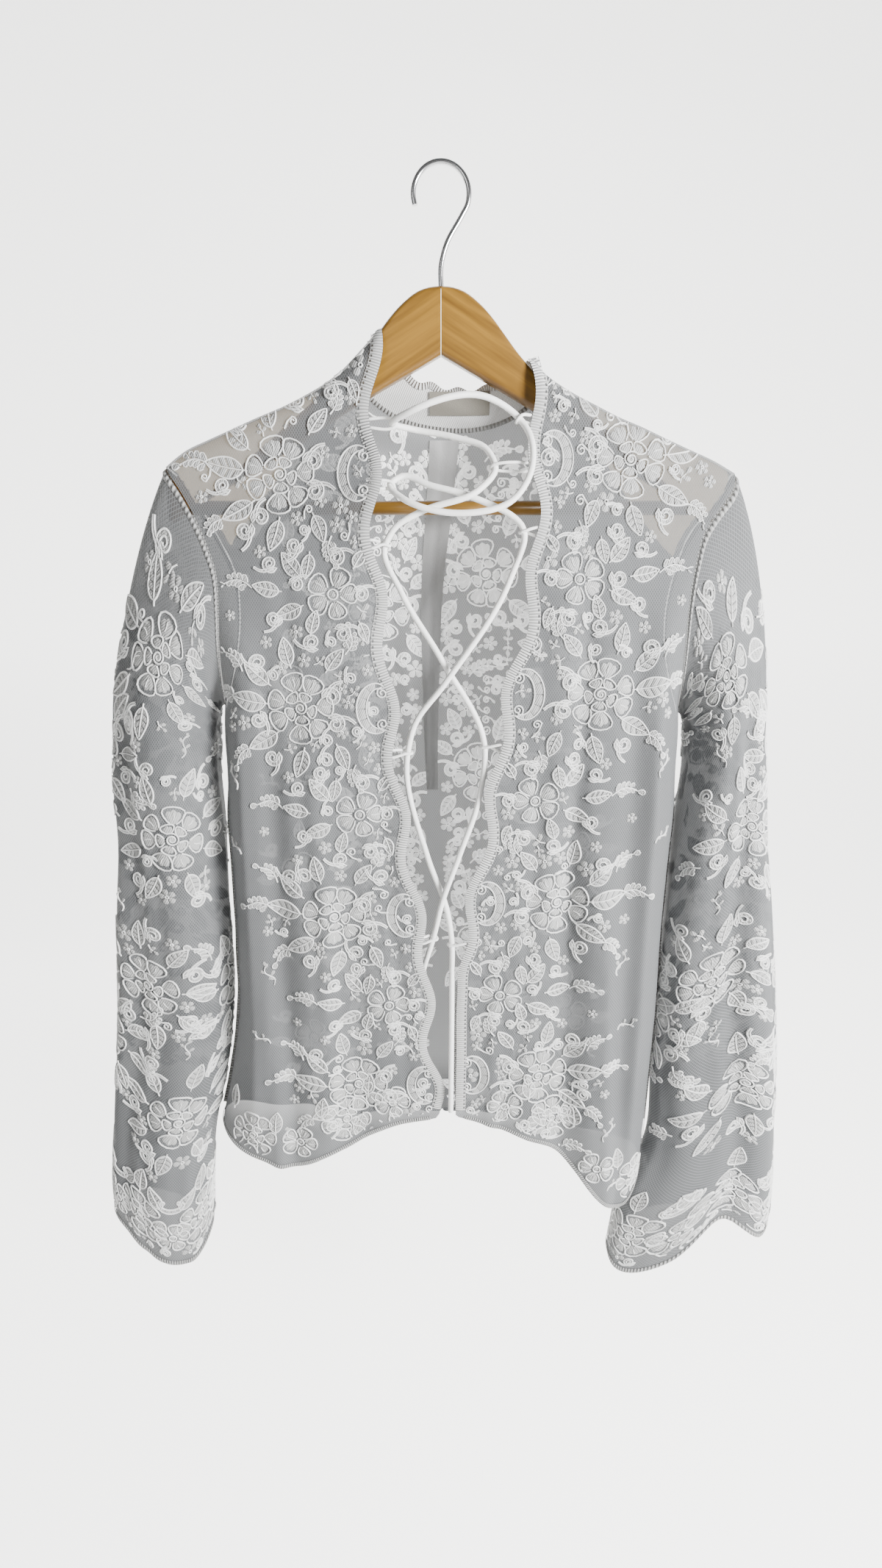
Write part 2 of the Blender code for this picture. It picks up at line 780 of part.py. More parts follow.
def sleeve_oval(side, drops):
    """One ring of the arm, with its own drop for each place round it."""
    around = np.arange(SLEEVE_SIDES) / SLEEVE_SIDES
    angle = 2 * math.pi * around
    sections = SLEEVE_SECTIONS[side]
    outer = column_at(sections, "outer", "drop", drops)
    inner = column_at(sections, "inner", "drop", drops)
    front = column_at(sections, "front", "drop", drops)
    back = column_at(sections, "back", "drop", drops)
    middle_y = (front + back) / 2
    x = (outer + inner) / 2 + (outer - inner) / 2 * np.cos(angle)
    y = middle_y - (back - front) / 2 * np.sin(angle)
    return np.stack([x, y, -drops * np.ones(SLEEVE_SIDES)], axis=1)


def cuff_drops(side):
    around = np.arange(SLEEVE_SIDES) / SLEEVE_SIDES
    rows = CUFF_EDGE[side]
    keys = [row.around for row in rows] + [1.0]
    values = [row.drop for row in rows] + [rows[0].drop]
    return smooth_values(keys, values, around)


def sleeve_surface(side):
    """The rings of one sleeve, from the armhole to the cuff."""
    around = np.arange(SLEEVE_SIDES) / SLEEVE_SIDES
    topness = (1 + np.cos(2 * math.pi * around)) / 2
    frontness = -np.sin(2 * math.pi * around)
    leaving = np.stack([side * (0.95 - 0.45 * topness), 0.25 * frontness, -0.25 - 0.62 * topness], axis=1)
    leaving /= np.linalg.norm(leaving, axis=1, keepdims=True)
    start = armhole_ring(side) + leaving * ARMHOLE_STEP
    first_drop = SLEEVE_SECTIONS[side][0].drop
    end = sleeve_oval(side, np.full(SLEEVE_SIDES, float(first_drop)))
    stretch = np.linalg.norm(end - start, axis=1, keepdims=True)
    start_pull = leaving * stretch * 0.7
    end_pull = np.array([0.0, 0.0, -1.0]) * stretch * 0.8
    rings = []
    for part in np.linspace(0.0, 1.0, SLEEVE_HEAD_RINGS):
        ring = (2 * part**3 - 3 * part**2 + 1) * start + (part**3 - 2 * part**2 + part) * start_pull
        ring = ring + (3 * part**2 - 2 * part**3) * end + (part**3 - part**2) * end_pull
        rings.append(ring)
    lowest = cuff_drops(side)
    for part in np.linspace(0.0, 1.0, SLEEVE_ARM_RINGS + 1)[1:]:
        rings.append(sleeve_oval(side, first_drop + (lowest - first_drop) * part))
    places = np.array(rings)
    normals = normals_of(places, True)
    middle = places.mean(axis=1, keepdims=True)
    outward = np.sign((normals * (places - middle)).sum(axis=2, keepdims=True))
    lift = np.zeros(places.shape[:2])
    for crease in SLEEVE_CREASES[side]:
        drop = -places[..., 2]
        fade = smooth_step((drop - crease.top) / 80.0) * smooth_step((crease.bottom + 60.0 - drop) / 120.0)
        apart = (around - crease.around + 0.5) % 1.0 - 0.5
        lift += crease.lift * fade * np.exp(-((apart / crease.width) ** 2))[None, :]
    return places + normals * outward * lift[..., None]


def make_sleeves():
    for side, name in ((LEFT, "sleeve_left"), (RIGHT, "sleeve_right")):
        cloth_wall(name, sleeve_surface(side), closed=True)


def pad_surfaces(side):
    """The outer and the inner surface of one shoulder pad, under the cloth and over the hanger."""
    tip_x, end_x = PAD_ENDS[side]
    depth_outside = LAYER_STEP + PAD_EASE
    shares = np.linspace(0.0, 1.0, PAD_COLUMNS)
    places = np.zeros((PAD_ROWS, PAD_COLUMNS, 3))
    thickness = np.zeros((PAD_ROWS, PAD_COLUMNS))
    for column, share in enumerate(shares):
        x = tip_x + (end_x - tip_x) * share
        front = float(column_at(PAD_FORM, "front_reach", "share", share))
        back = float(column_at(PAD_FORM, "back_reach", "share", share))
        full = float(column_at(PAD_FORM, "thickness", "share", share))
        for row in range(PAD_ROWS):
            along = -1 + 2 * row / (PAD_ROWS - 1)
            facing = FRONT if along < 0 else BACK
            reach = front if facing == FRONT else back
            fall = reach * abs(along) ** 1.6
            armhole_x = float(column_at(OUTER_EDGE[side], "x", "drop", crest_drop(x) + fall))
            at_x = x if fall < PAD_CREST else side * min(side * x, side * armhole_x - PAD_ARMHOLE_GAP)
            places[row, column] = body_point(side, facing, at_x, float(crest_drop(at_x)) + fall)
            places[row, column, 2] = -(float(crest_drop(at_x)) + fall)
            thickness[row, column] = PAD_THINNEST + (full - PAD_THINNEST) * (1 - along**4)
    normals = normals_of(places, False)
    outward = np.sign(normals[..., 2:3] + 1e-9 + normals[..., 1:2] * np.sign(places[..., 1:2]))
    normals = normals * outward
    return places - normals * depth_outside, places - normals * (depth_outside + thickness[..., None])


def make_pads():
    for side, name in ((LEFT, "shoulder_pad_left"), (RIGHT, "shoulder_pad_right")):
        outside, inside = pad_surfaces(side)
        mesh = surface_mesh(name, outside, False)
        shape = bmesh.new()
        shape.from_mesh(mesh)
        flat_inside = inside.reshape(-1, 3)
        flat_outside = outside.reshape(-1, 3)
        made = bmesh.ops.extrude_face_region(shape, geom=shape.faces[:])
        for part in made["geom"]:
            if isinstance(part, bmesh.types.BMVert):
                gaps = np.linalg.norm(flat_outside - np.array(part.co) / MM, axis=1)
                part.co = flat_inside[int(np.argmin(gaps))] * MM
        face_outwards(shape)
        shape.to_mesh(mesh)
        shape.free()
        object_of(name, mesh, colour_of(name, (0.72, 0.66, 0.56), 0.85))


def tube(name, points, diameter, resolution, material):
    curve = bpy.data.curves.new(name, "CURVE")
    curve.dimensions = "3D"
    curve.bevel_depth = diameter / 2 * MM
    curve.bevel_resolution = resolution
    curve.use_fill_caps = True
    spline = curve.splines.new("POLY")
    spline.points.add(len(points) - 1)
    for point, place in zip(spline.points, points):
        point.co = (*(place * MM), 1.0)
    body = bpy.data.objects.new(name, curve)
    bpy.context.scene.collection.objects.link(body)
    curve.materials.append(material)
    return body


def cord_places():
    return smooth_path([(bend.x, bend.y, -bend.drop) for bend in CORD_ROUTE], CORD_POINTS)


def make_lacing_cord():
    tube("lacing_cord", cord_places(), CORD_DIAMETER, 2, colour_of("lacing_cord", (0.85, 0.84, 0.82), 0.6))


def wrong_side_place(side, x, drop):
    """A loop's place behind the front, just clear of it."""
    place = body_point(side, FRONT, x, drop)
    return place + (0.0, CLOTH_WALL / 2 + SEAM_GAP + LOOP_DIAMETER / 2 + WRONG_SIDE_EASE, 0.0)


def make_lace_loops():
    """Each loop runs from the wrong side of the front edge, round the cord and back."""
    points = cord_places()
    numbers = np.arange(len(points))
    between = np.linspace(0, len(points) - 1, CORD_STEPS_BETWEEN * len(points))
    directions = np.gradient(points, axis=0)
    cord = np.stack([np.interp(between, numbers, points[:, axis]) for axis in range(3)], axis=1)
    along = np.stack([np.interp(between, numbers, directions[:, axis]) for axis in range(3)], axis=1)
    counts = {LEFT: 0, RIGHT: 0}
    for loop in LACE_LOOPS:
        counts[loop.side] += 1
        name = f"lace_loop_{'left' if loop.side == LEFT else 'right'}_{counts[loop.side]}"
        nearest = int(np.argmin(np.linalg.norm(cord - (loop.tip_x, loop.depth, -loop.drop), axis=1)))
        centre = cord[nearest]
        tangent = along[nearest] / np.linalg.norm(along[nearest])
        outward = np.array([-loop.side, 0.0, 0.0]) + loop.side * tangent * tangent[0]
        outward /= np.linalg.norm(outward)
        beside = np.cross(tangent, outward)
        if beside[2] < 0:
            beside = -beside
        reach = (CORD_DIAMETER + LOOP_DIAMETER) / 2 + loop.ease
        turns = [math.radians(angle) for angle in (90, 54, 18, -18, -54, -90)]
        round_cord = [centre + reach * (math.cos(turn) * outward + math.sin(turn) * beside) for turn in turns]
        edge_x = opening_x(loop.side, loop.drop)
        root_drop = -centre[2]
        spreads = ((loop.root_x, LOOP_DIAMETER * 0.8), (edge_x, reach * 0.85))
        upper = [wrong_side_place(loop.side, x, root_drop - spread) for x, spread in spreads]
        lower = [wrong_side_place(loop.side, x, root_drop + spread) for x, spread in reversed(spreads)]
        route = np.array(upper + round_cord + lower)
        tube(name, route, LOOP_DIAMETER, 1, colour_of(name, (0.84, 0.83, 0.81), 0.6))


def make_hanger_arms():
    """Two flat wooden arms that meet in a mitre at the middle, each with a blind hole for the bar."""
    for side, name in ((LEFT, "hanger_arm_left"), (RIGHT, "hanger_arm_right")):
        top = smooth_path([(edge.x, edge.drop) for edge in ARM_TOP], 18)
        outline = [tuple(place) for place in top] + [(edge.x, edge.drop) for edge in ARM_UNDERSIDE]
        shape = bmesh.new()
        face_y = -ARM_THICKNESS / 2
        corners = []
        for x, drop in outline:
            place_x = side * max(x, MITRE_GAP / 2)
            corners.append(shape.verts.new((place_x * MM, face_y * MM, -drop * MM)))
        face = shape.faces.new(corners)
        made = bmesh.ops.extrude_face_region(shape, geom=[face])
        moved = [part for part in made["geom"] if isinstance(part, bmesh.types.BMVert)]
        bmesh.ops.translate(shape, vec=(0.0, ARM_THICKNESS * MM, 0.0), verts=moved)
        face_outwards(shape)
        mesh = bpy.data.meshes.new(name)
        shape.to_mesh(mesh)
        shape.free()
        arm = object_of(name, mesh, colour_of(name, (0.55, 0.33, 0.13), 0.35))
        rounding = arm.modifiers.new("Rounded edges", "BEVEL")
        rounding.width = ARM_EDGE_ROUND * MM
        rounding.segments = 1
        rounding.limit_method = "ANGLE"
        rounding.angle_limit = math.radians(60)
        hole = arm.modifiers.new("Bar hole", "BOOLEAN")
        hole.operation = "DIFFERENCE"
        hole.object = bar_cutter(side)


def bar_mesh(name, half_length, diameter, sides=16):
    shape = bmesh.new()
    bmesh.ops.create_cone(
        shape,
        cap_ends=True,
        segments=sides,
        radius1=diameter / 2 * MM,
        radius2=diameter / 2 * MM,
        depth=2 * half_length * MM,
    )
    bmesh.ops.rotate(shape, verts=shape.verts, cent=(0, 0, 0), matrix=Matrix.Rotation(math.pi / 2, 3, "Y"))
    bmesh.ops.translate(shape, verts=shape.verts, vec=(0.0, 0.0, -BAR_DROP * MM))
    mesh = bpy.data.meshes.new(name)
    shape.to_mesh(mesh)
    shape.free()
    return mesh


def bar_cutter(side):
    name = f"bar_hole_{'left' if side == LEFT else 'right'}"
    mesh = bar_mesh(name, BAR_HALF_LENGTH + BAR_HOLE_CLEARANCE / 2, BAR_DIAMETER + BAR_HOLE_CLEARANCE)
    cutter = bpy.data.objects.new(name, mesh)
    bpy.context.scene.collection.objects.link(cutter)
    cutter.hide_render = True
    cutter.display_type = "WIRE"
    return cutter


def make_hanger_bar():
    mesh = bar_mesh("hanger_bar", BAR_HALF_LENGTH, BAR_DIAMETER)
    bar = object_of("hanger_bar", mesh, colour_of("hanger_bar", (0.55, 0.33, 0.13), 0.35))
    bar.data.shade_smooth()


def make_hanger_hook():
    radius = HOOK_INNER_RADIUS + WIRE_DIAMETER / 2
    centre = np.array([0.0, 0.0, -HOOK_INNER_RADIUS])
    stem_foot = -ARM_TOP[0].drop - STEM_SUNK
    stem = [np.array(place) for place in ((0.0, 0.0, stem_foot), (0.0, 0.0, -56.0), (3.0, 0.0, -45.0))]
    turns = [math.radians(angle) for angle in np.arange(-40, 201, 20)]
    arc = [centre + radius * np.array([math.cos(turn), 0.0, math.sin(turn)]) for turn in turns]
    points = smooth_path(stem + arc, 26)
    tube("hanger_hook", points, WIRE_DIAMETER, 3, colour_of("hanger_hook", (0.7, 0.7, 0.7), 0.25, 1.0))


def main():
    for found in list(bpy.data.objects):
        bpy.data.objects.remove(found, do_unlink=True)
    make_fronts()
    make_backs()
    make_neck_band()
    make_neck_label()
    make_seam_allowance()
    make_sleeves()
    make_pads()
    make_lacing_cord()
    make_lace_loops()
    make_hanger_arms()
    make_hanger_bar()
    make_hanger_hook()


main()
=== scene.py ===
"""Dresses a packed lace shirt on its hanger: net panels, raised motifs, borders, lacing, pads and wood.

Run it as a script, or from the text editor. The tables are in millimetres. x runs to the viewer's right,
y away from the viewer, and a drop is a distance below the rod. Left and right are the viewer's.
"""

import math
from collections import namedtuple

import bmesh
import bpy
import numpy as np
from mathutils import Matrix, Vector


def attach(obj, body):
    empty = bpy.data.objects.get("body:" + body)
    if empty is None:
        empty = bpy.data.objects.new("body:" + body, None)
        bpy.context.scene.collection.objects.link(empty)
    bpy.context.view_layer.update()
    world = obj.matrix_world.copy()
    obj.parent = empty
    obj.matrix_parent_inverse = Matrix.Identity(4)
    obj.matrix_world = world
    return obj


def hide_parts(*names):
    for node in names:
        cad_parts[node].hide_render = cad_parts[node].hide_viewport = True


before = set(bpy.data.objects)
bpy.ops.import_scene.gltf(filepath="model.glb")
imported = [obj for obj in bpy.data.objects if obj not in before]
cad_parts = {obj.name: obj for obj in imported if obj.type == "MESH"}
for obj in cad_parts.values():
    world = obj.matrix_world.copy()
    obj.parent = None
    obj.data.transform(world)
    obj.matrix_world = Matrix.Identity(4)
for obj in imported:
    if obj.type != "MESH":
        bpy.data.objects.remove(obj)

bl_info = {
    "name": "Lace shirt on a hanger",
    "version": (1, 0, 0),
    "blender": (4, 5, 0),
    "location": "View3D > Sidebar > Lace shirt",
    "description": "Dresses the lace shirt: net, motifs, borders, lacing, pads and hanger",
    "category": "Object",
}

MM = 0.001
LEFT = -1
RIGHT = 1
FRONT = -1
BACK = 1

# Form of the cloth, as in the solids
SEAM_GAP = 0.3
LAYER_STEP = 1.3
CREST_HALF = 12.0
CREST_FALL = 15.0
FALL_TO_FULL_DEPTH = 150.0
SIDE_REACH = 34.0
SIDE_TURN_LENGTH = 36.0
SCALLOP_PITCH = 78.0
SCALLOP_HEIGHT = 4.0
NECK_SCALLOP_PITCH = 19.0
NECK_SCALLOP_HEIGHT = 1.6
PAD_THINNEST = 1.4
PAD_EASE = 0.6
PAD_CREST = 12.0
PAD_ARMHOLE_GAP = 5.0
LABEL_LEFT = -8.0
LABEL_WIDTH = 42.0
LABEL_TOP = 127.5
LABEL_HEIGHT = 15.0
CORD_DIAMETER = 4.2
LOOP_DIAMETER = 2.0
WRONG_SIDE_EASE = 0.3
ARM_THICKNESS = 12.0
BAR_DIAMETER = 9.5
BAR_DROP = 205.0
BAR_HALF_LENGTH = 184.0
WIRE_DIAMETER = 3.6
HOOK_INNER_RADIUS = 16.0
STEM_SUNK = 0.9

# Fineness of the dressed pieces
PANEL_ROWS = 130
PANEL_COLUMNS = 76
BAND_ROWS = 7
BAND_COLUMNS = 61
RIBBON_ROWS = 7
SLEEVE_SIDES = 72
SLEEVE_HEAD_RINGS = 30
SLEEVE_ARM_RINGS = 90

# The raised work: height and width of its threads, puff of its filled shapes, and the filled share of a petal.
# A petal wider than LOBED_PETAL is filled with three lobes.
CORD_LIFT = 0.35
THREAD_WIDE = 1.1
FINE_THREAD = 0.8 * THREAD_WIDE
VEIN_THREAD = 0.7 * THREAD_WIDE
FILL_PUFF = 0.55
PETAL_INSET = 0.86
LOBED_PETAL = 9.0
MOTIF_MARGIN = 8.5
SLEEVE_MOTIF_MARGIN = 9.0
# Small motifs are tried at even steps, and each keeps this far from what is drawn.
FILLER_STEP = 5.5
BACK_FILLER_STEP = 8.0
FILLER_CLEAR = {"blossom": 4.3, "bud": 3.5, "tendril": 3.5, "curl": 5.2}

# Widths of the borders and seams
BORDER_WIDTH = 8.0
PICOT_WIDTH = 3.6
CUFF_PICOT_WIDTH = 4.0
TURNED_WIDTH = 9.0
TURNED_PEEP = 6.0
NECK_RIM_WIDTH = 4.5
NECK_SEAM_WIDTH = 3.0
ARMHOLE_ALLOWANCE_WIDTH = 2.4
SEAM_FIN = 2.4

# What the dressed cloth adds to the form of the solids. Body and arm ease towards each other from a drop on.
SIDE_EASE = 2.4
SIDE_EASE_FROM = 380.0
FINE_FOLD_GAIN = 1.5
ROUND_ARM = 240.0

# The net lets less light through near the hem: its painted-shade film covers more of the cells there, from a
# height and over a length in metres, up to a cover.
DENSE_NET_FROM = -0.665
DENSE_NET_OVER = 0.03
DENSE_NET_COVER = 0.96

# The wood: slope of its grain in degrees, and rounding of its edges
GRAIN_SLOPE = 31.0
ARM_ROUND = 4.4

# Stage and camera, in metres and degrees
STAGE_FLOOR = -1.25
STAGE_BACK = 1.2
STAGE_BEND = 0.8
# The paper glows only behind the garment, so that its front takes the light of the lamps.
GLOW_FROM = -0.35
GLOW_OVER = 0.3
CAMERA_PLACE = (0.0, -0.575, -0.247)
CAMERA_TILT = 74.5
CAMERA_LENS = 17.72


def table(kind, *rows):
    """Rows of one kind."""
    return tuple(kind(*row) for row in rows)


# The top of the cloth over the hanger
Shoulder = namedtuple("Shoulder", "x drop")
SHOULDER_LINE = table(
    Shoulder, (-196, 183), (-190, 178), (-176, 168), (-160, 161), (-144, 154.5), (-127, 147.5),
    (-105, 139), (-90, 132), (-78, 125.5), (-67, 118), (-53, 105), (-41, 93.5), (-20, 84), (10, 80),
    (35, 91), (58, 110.5), (70, 120), (80, 126.5), (91, 132.5), (105, 139), (120, 146), (138, 153),
    (153, 159.5), (171, 167), (190, 175), (203, 182),
)
NECK_POINT_X = {LEFT: -41.0, RIGHT: 58.0}
SHOULDER_POINT_X = {LEFT: -190.0, RIGHT: 203.0}
BAND_END_X = {LEFT: -62.0, RIGHT: 78.0}

# How far the front and the back stand off the hanger
Depth = namedtuple("Depth", "drop front back")
BODY_DEPTH = table(
    Depth, (90, 24, 24), (200, 36, 30), (300, 37, 33), (400, 38, 33), (550, 36, 31), (700, 33, 27),
    (800, 31, 25),
)

# The straight line of each front edge
Opening = namedtuple("Opening", "drop x")
LEFT_OPENING = table(
    Opening, (94, -41), (120, -43), (144, -44), (185, -43), (225, -43.5), (266, -40), (304, -36),
    (341, -33), (385, -30.5), (422, -26), (460, -21.5), (500, -15), (540, -10), (580, -8), (620, -7),
    (655, -1), (682, 1),
)
RIGHT_OPENING = table(
    Opening, (110, 58), (144, 59.5), (170, 62), (205, 63), (240, 61.5), (265, 59.5), (292, 54.5),
    (322, 47.5), (350, 43), (388, 37), (424, 34), (450, 29), (476, 24), (508, 19), (540, 15), (576, 12.5),
    (615, 12.5), (682, 12),
)
# The lowest scallops of the right front are turned under, so its edge is straight from fade_start on.
Edging = namedtuple("Edging", "opening crest fade_start fade_end hem_drop")
EDGING = {
    LEFT: Edging(LEFT_OPENING, 341.0, 700.0, 760.0, 680.0),
    RIGHT: Edging(RIGHT_OPENING, 327.0, 520.0, 570.0, 681.0),
}

# Armhole seam from the shoulder point to the underarm, then side seam to the hem. turn is how far the cloth
# has turned round the side there, in degrees: 90 is the side seam itself.
Outer = namedtuple("Outer", "drop x turn")
OUTER_EDGE = {
    LEFT: table(
        Outer, (178, -190, 0), (192, -180, 0), (213, -168, 0), (228, -161, 2), (248, -154, 8),
        (275, -153, 20), (300, -155, 38), (325, -158, 64), (345, -161, 90), (420, -162, 90),
        (480, -162, 90), (540, -163, 90), (600, -166, 90), (663, -177, 90), (705, -187, 90),
        (745, -193, 90),
    ),
    RIGHT: table(
        Outer, (182, 203, 0), (196, 199, 0), (208, 190, 0), (222, 181, 2), (243, 175, 8), (270, 171, 20),
        (300, 171, 38), (328, 174, 64), (350, 177, 90), (400, 178, 90), (461, 176, 90), (527, 175, 90),
        (597, 176, 90), (650, 175, 90), (700, 174, 90), (790, 172, 90),
    ),
}
UNDERARM_DROP = {LEFT: 345.0, RIGHT: 350.0}

Hem = namedtuple("Hem", "x drop")
FRONT_HEM = {
    LEFT: table(
        Hem, (1, 680), (-32, 692), (-62, 704), (-92, 718), (-120, 734), (-152, 722), (-208, 704),
    ),
    RIGHT: table(
        Hem, (12, 681), (35, 692), (70, 702), (91, 713), (112, 738), (135, 766), (158, 775), (196, 748),
    ),
}
BACK_HEM = {
    LEFT: table(Hem, (1, 722), (-50, 726), (-100, 724), (-150, 716), (-208, 704)),
    RIGHT: table(Hem, (1, 722), (50, 728), (100, 738), (150, 744), (196, 748)),
}

CENTRE_BACK = table(
    Opening, (153, 3), (200, -1), (250, -6), (350, -8), (500, -5), (722, 1),
)
Band = namedtuple("Band", "x drop")
BAND_TOP = table(
    Band, (-41, 93.5), (-36, 104), (-22, 117), (0, 124), (20, 126), (40, 121), (52, 115), (58, 110.5),
)
BAND_SEAM = table(
    Band, (-62, 113.6), (-52, 131), (-32, 145), (3, 153), (24, 153), (48, 147), (68, 134), (78, 125.4),
)

# Soft lengthwise folds of the panels: a ridge where lift is positive and a trough where it is negative.
Fold = namedtuple("Fold", "x top bottom width lift lean")
FRONT_FOLDS = {
    LEFT: table(
        Fold, (-96, 330, 760, 15, 4.5, -8), (-122, 250, 700, 11, -4.0, -4), (-70, 470, 740, 12, -3.0, 6),
        (-135, 520, 760, 12, 4.0, -6), (-60, 180, 420, 14, 2.0, 4),
    ),
    RIGHT: table(
        Fold, (118, 420, 800, 15, 6.0, 12), (94, 360, 760, 12, -4.0, 8), (138, 240, 700, 11, -4.0, 6),
        (62, 470, 720, 13, 3.0, 6), (86, 190, 420, 14, 2.0, -4),
    ),
}
BACK_FOLDS = {
    LEFT: table(
        Fold, (-45, 260, 740, 16, 4.0, -6), (-85, 320, 740, 14, -3.5, -8), (-120, 240, 720, 14, 4.0, -4),
    ),
    RIGHT: table(
        Fold, (38, 300, 740, 15, -3.5, 4), (76, 260, 760, 16, 4.5, 8), (124, 330, 760, 14, -4.0, 6),
    ),
}

Sleeve = namedtuple("Sleeve", "drop outer inner front back")
SLEEVE_SECTIONS = {
    LEFT: table(
        Sleeve, (362, -243, -167, -39, 36), (400, -248, -170, -39, 36), (446, -250, -171, -38, 34),
        (508, -259, -172, -36, 30), (557, -264, -173, -34, 28), (608, -269, -176, -33, 25),
        (662, -277, -185, -32, 22), (717, -284, -198, -32, 19), (768, -290, -204, -32, 17),
        (840, -291, -207, -32, 16),
    ),
    RIGHT: table(
        Sleeve, (362, 242, 184, -38, 38), (400, 248, 186, -38, 38), (446, 255, 185, -37, 38),
        (508, 266, 184, -34, 36), (557, 274, 184, -31, 35), (608, 282, 184, -28, 34),
        (662, 289, 184, -26, 33), (735, 296, 183, -24, 32), (785, 300, 166, -22, 30),
        (870, 303, 154, -22, 28),
    ),
}
# The lower edge of the cuff round the arm: 0 is the outer side, 0.25 the front, 0.5 the inner side and 0.75
# the back.
Cuff = namedtuple("Cuff", "around drop")
CUFF_EDGE = {
    LEFT: table(
        Cuff, (0.0, 790), (0.12, 806), (0.25, 832), (0.36, 838), (0.5, 806), (0.7, 812), (0.85, 798),
    ),
    RIGHT: table(
        Cuff, (0.0, 806), (0.1, 826), (0.21, 806), (0.3, 848), (0.4, 868), (0.5, 852), (0.62, 838),
        (0.78, 826), (0.9, 812),
    ),
}
Crease = namedtuple("Crease", "around top bottom width lift")
SLEEVE_CREASES = {
    LEFT: table(
        Crease, (0.16, 300, 800, 0.045, -4.0), (0.30, 400, 860, 0.05, 3.0), (0.42, 330, 700, 0.04, -3.0),
        (0.66, 320, 800, 0.05, -4.0), (0.84, 420, 840, 0.05, 3.0),
    ),
    RIGHT: table(
        Crease, (0.14, 420, 860, 0.04, 3.5), (0.22, 300, 860, 0.045, -6.0), (0.36, 380, 800, 0.045, 3.0),
        (0.62, 320, 860, 0.05, -4.0), (0.82, 420, 840, 0.05, 3.5),
    ),
}

# The pads lie under the shoulders. reach is how far each hangs below the crest, at that share of its width
# from the inner tip to the sleeve end.
Pad = namedtuple("Pad", "share front_reach back_reach thickness")
PAD_FORM = table(
    Pad, (0.0, 6, 8, 1.4), (0.25, 17, 34, 1.8), (0.5, 27, 56, 2.4), (0.75, 36, 70, 3.0),
    (1.0, 40, 66, 3.0),
)
PAD_ENDS = {LEFT: (-86.0, -186.0), RIGHT: (96.0, 198.0)}

# A loop runs from its root on the wrong side of a front edge round the cord at its tip.
Loop = namedtuple("Loop", "side root_x tip_x depth drop")
LACE_LOOPS = table(
    Loop, (LEFT, -55, -33, -16, 153), (LEFT, -54, -34.5, -23, 192), (LEFT, -56, -38, -30.5, 230),
    (LEFT, -45, -24.5, -31.5, 374), (LEFT, -30, -6, -30.5, 522), (RIGHT, 72, 53, -16, 150),
    (RIGHT, 74, 36.5, -21, 181), (RIGHT, 72, 56, -29, 222), (RIGHT, 56, 31.5, -31, 370),
    (RIGHT, 30, 8.5, -30.5, 527),
)

Bend = namedtuple("Bend", "x y drop")
CORD_ROUTE = table(
    Bend, (8.0, -38.0, 674), (8.5, -34.0, 555), (8.5, -30.5, 527), (5.0, -31.0, 500), (-10.0, -31.5, 455),
    (-24.5, -31.5, 378), (-19.0, -34.0, 354), (3.0, -38.0, 323), (47.0, -33.0, 253), (56.0, -29.0, 222),
    (18.0, -25.5, 199), (-8.0, -21.5, 192), (-26.0, -18.5, 186), (-34.5, -23.0, 192), (-26.0, -33.0, 201),
    (10.0, -39.0, 211), (48.0, -36.0, 202), (60.0, -28.5, 182), (59.5, -23.0, 163), (51.0, -16.0, 149),
    (30.0, -21.0, 138), (-22.0, -26.5, 148.5), (-33.0, -16.0, 153), (-22.0, -6.0, 154.5),
    (12.0, -8.0, 161), (30.0, -14.0, 168), (36.5, -21.0, 181), (25.0, -31.0, 196), (-14.0, -32.0, 210),
    (-31.0, -31.5, 220), (-38.0, -30.5, 232), (-27.0, -31.5, 262), (0.0, -31.0, 307), (31.5, -31.0, 370),
    (28.0, -33.0, 408), (14.0, -37.5, 450), (1.0, -36.0, 489), (-6.0, -30.5, 522), (-14.0, -26.0, 552),
    (-16.0, -24.0, 664),
)

ArmEdge = namedtuple("ArmEdge", "x drop")
ARM_TOP = table(
    ArmEdge, (0, 68.5), (7, 69), (14, 71), (26, 79), (35, 88), (42, 96.5), (52, 108.5), (62, 118.5),
    (80, 131.5), (105, 146), (130, 157.5), (160, 171), (182, 184), (191, 191),
)
ARM_UNDERSIDE = table(ArmEdge, (191, 215.5), (150, 192), (105, 167.5), (63, 142.5), (0, 109))

HEM_SCALLOP = 2.5
ARMHOLE_STEP = 1.1
CREST_STEPS = (0.0, 0.5, 1.4, 2.8, 4.8, 7.5, 11.0)
CREST_EVEN = 15.0

# Smaller creases than the solids hold: a ridge where lift is positive and a trough where it is negative.
FRONT_FINE_FOLDS = {
    LEFT: table(
        Fold, (-148, 300, 700, 7, 2.2, -6), (-108, 220, 520, 7, -1.8, 10), (-84, 420, 700, 7, 1.8, -8),
        (-50, 300, 640, 6, -1.2, 22), (-126, 560, 780, 7, 2.2, -10),
    ),
    RIGHT: table(
        Fold, (158, 300, 740, 7, 2.4, 4), (104, 230, 520, 7, -1.8, -8), (128, 480, 780, 7, 2.6, 14),
        (76, 330, 640, 6, -1.4, -14), (44, 520, 740, 6, 1.4, -4),
    ),
}
BACK_FINE_FOLDS = {
    LEFT: table(
        Fold, (-28, 240, 640, 7, -1.8, 6), (-66, 300, 700, 8, 2.0, -10), (-104, 380, 720, 7, -2.0, 4),
    ),
    RIGHT: table(
        Fold, (20, 260, 640, 7, 1.8, -4), (58, 320, 700, 8, -2.0, 8), (100, 300, 720, 7, 2.2, -6),
    ),
}

# A motif's u is its distance from the front edge, the centre back or round the arm, and v its drop, or its
# distance down the arm. turn is its heading in degrees: 0 points outwards and 90 points up.
Motif = namedtuple("Motif", "kind u v turn size")
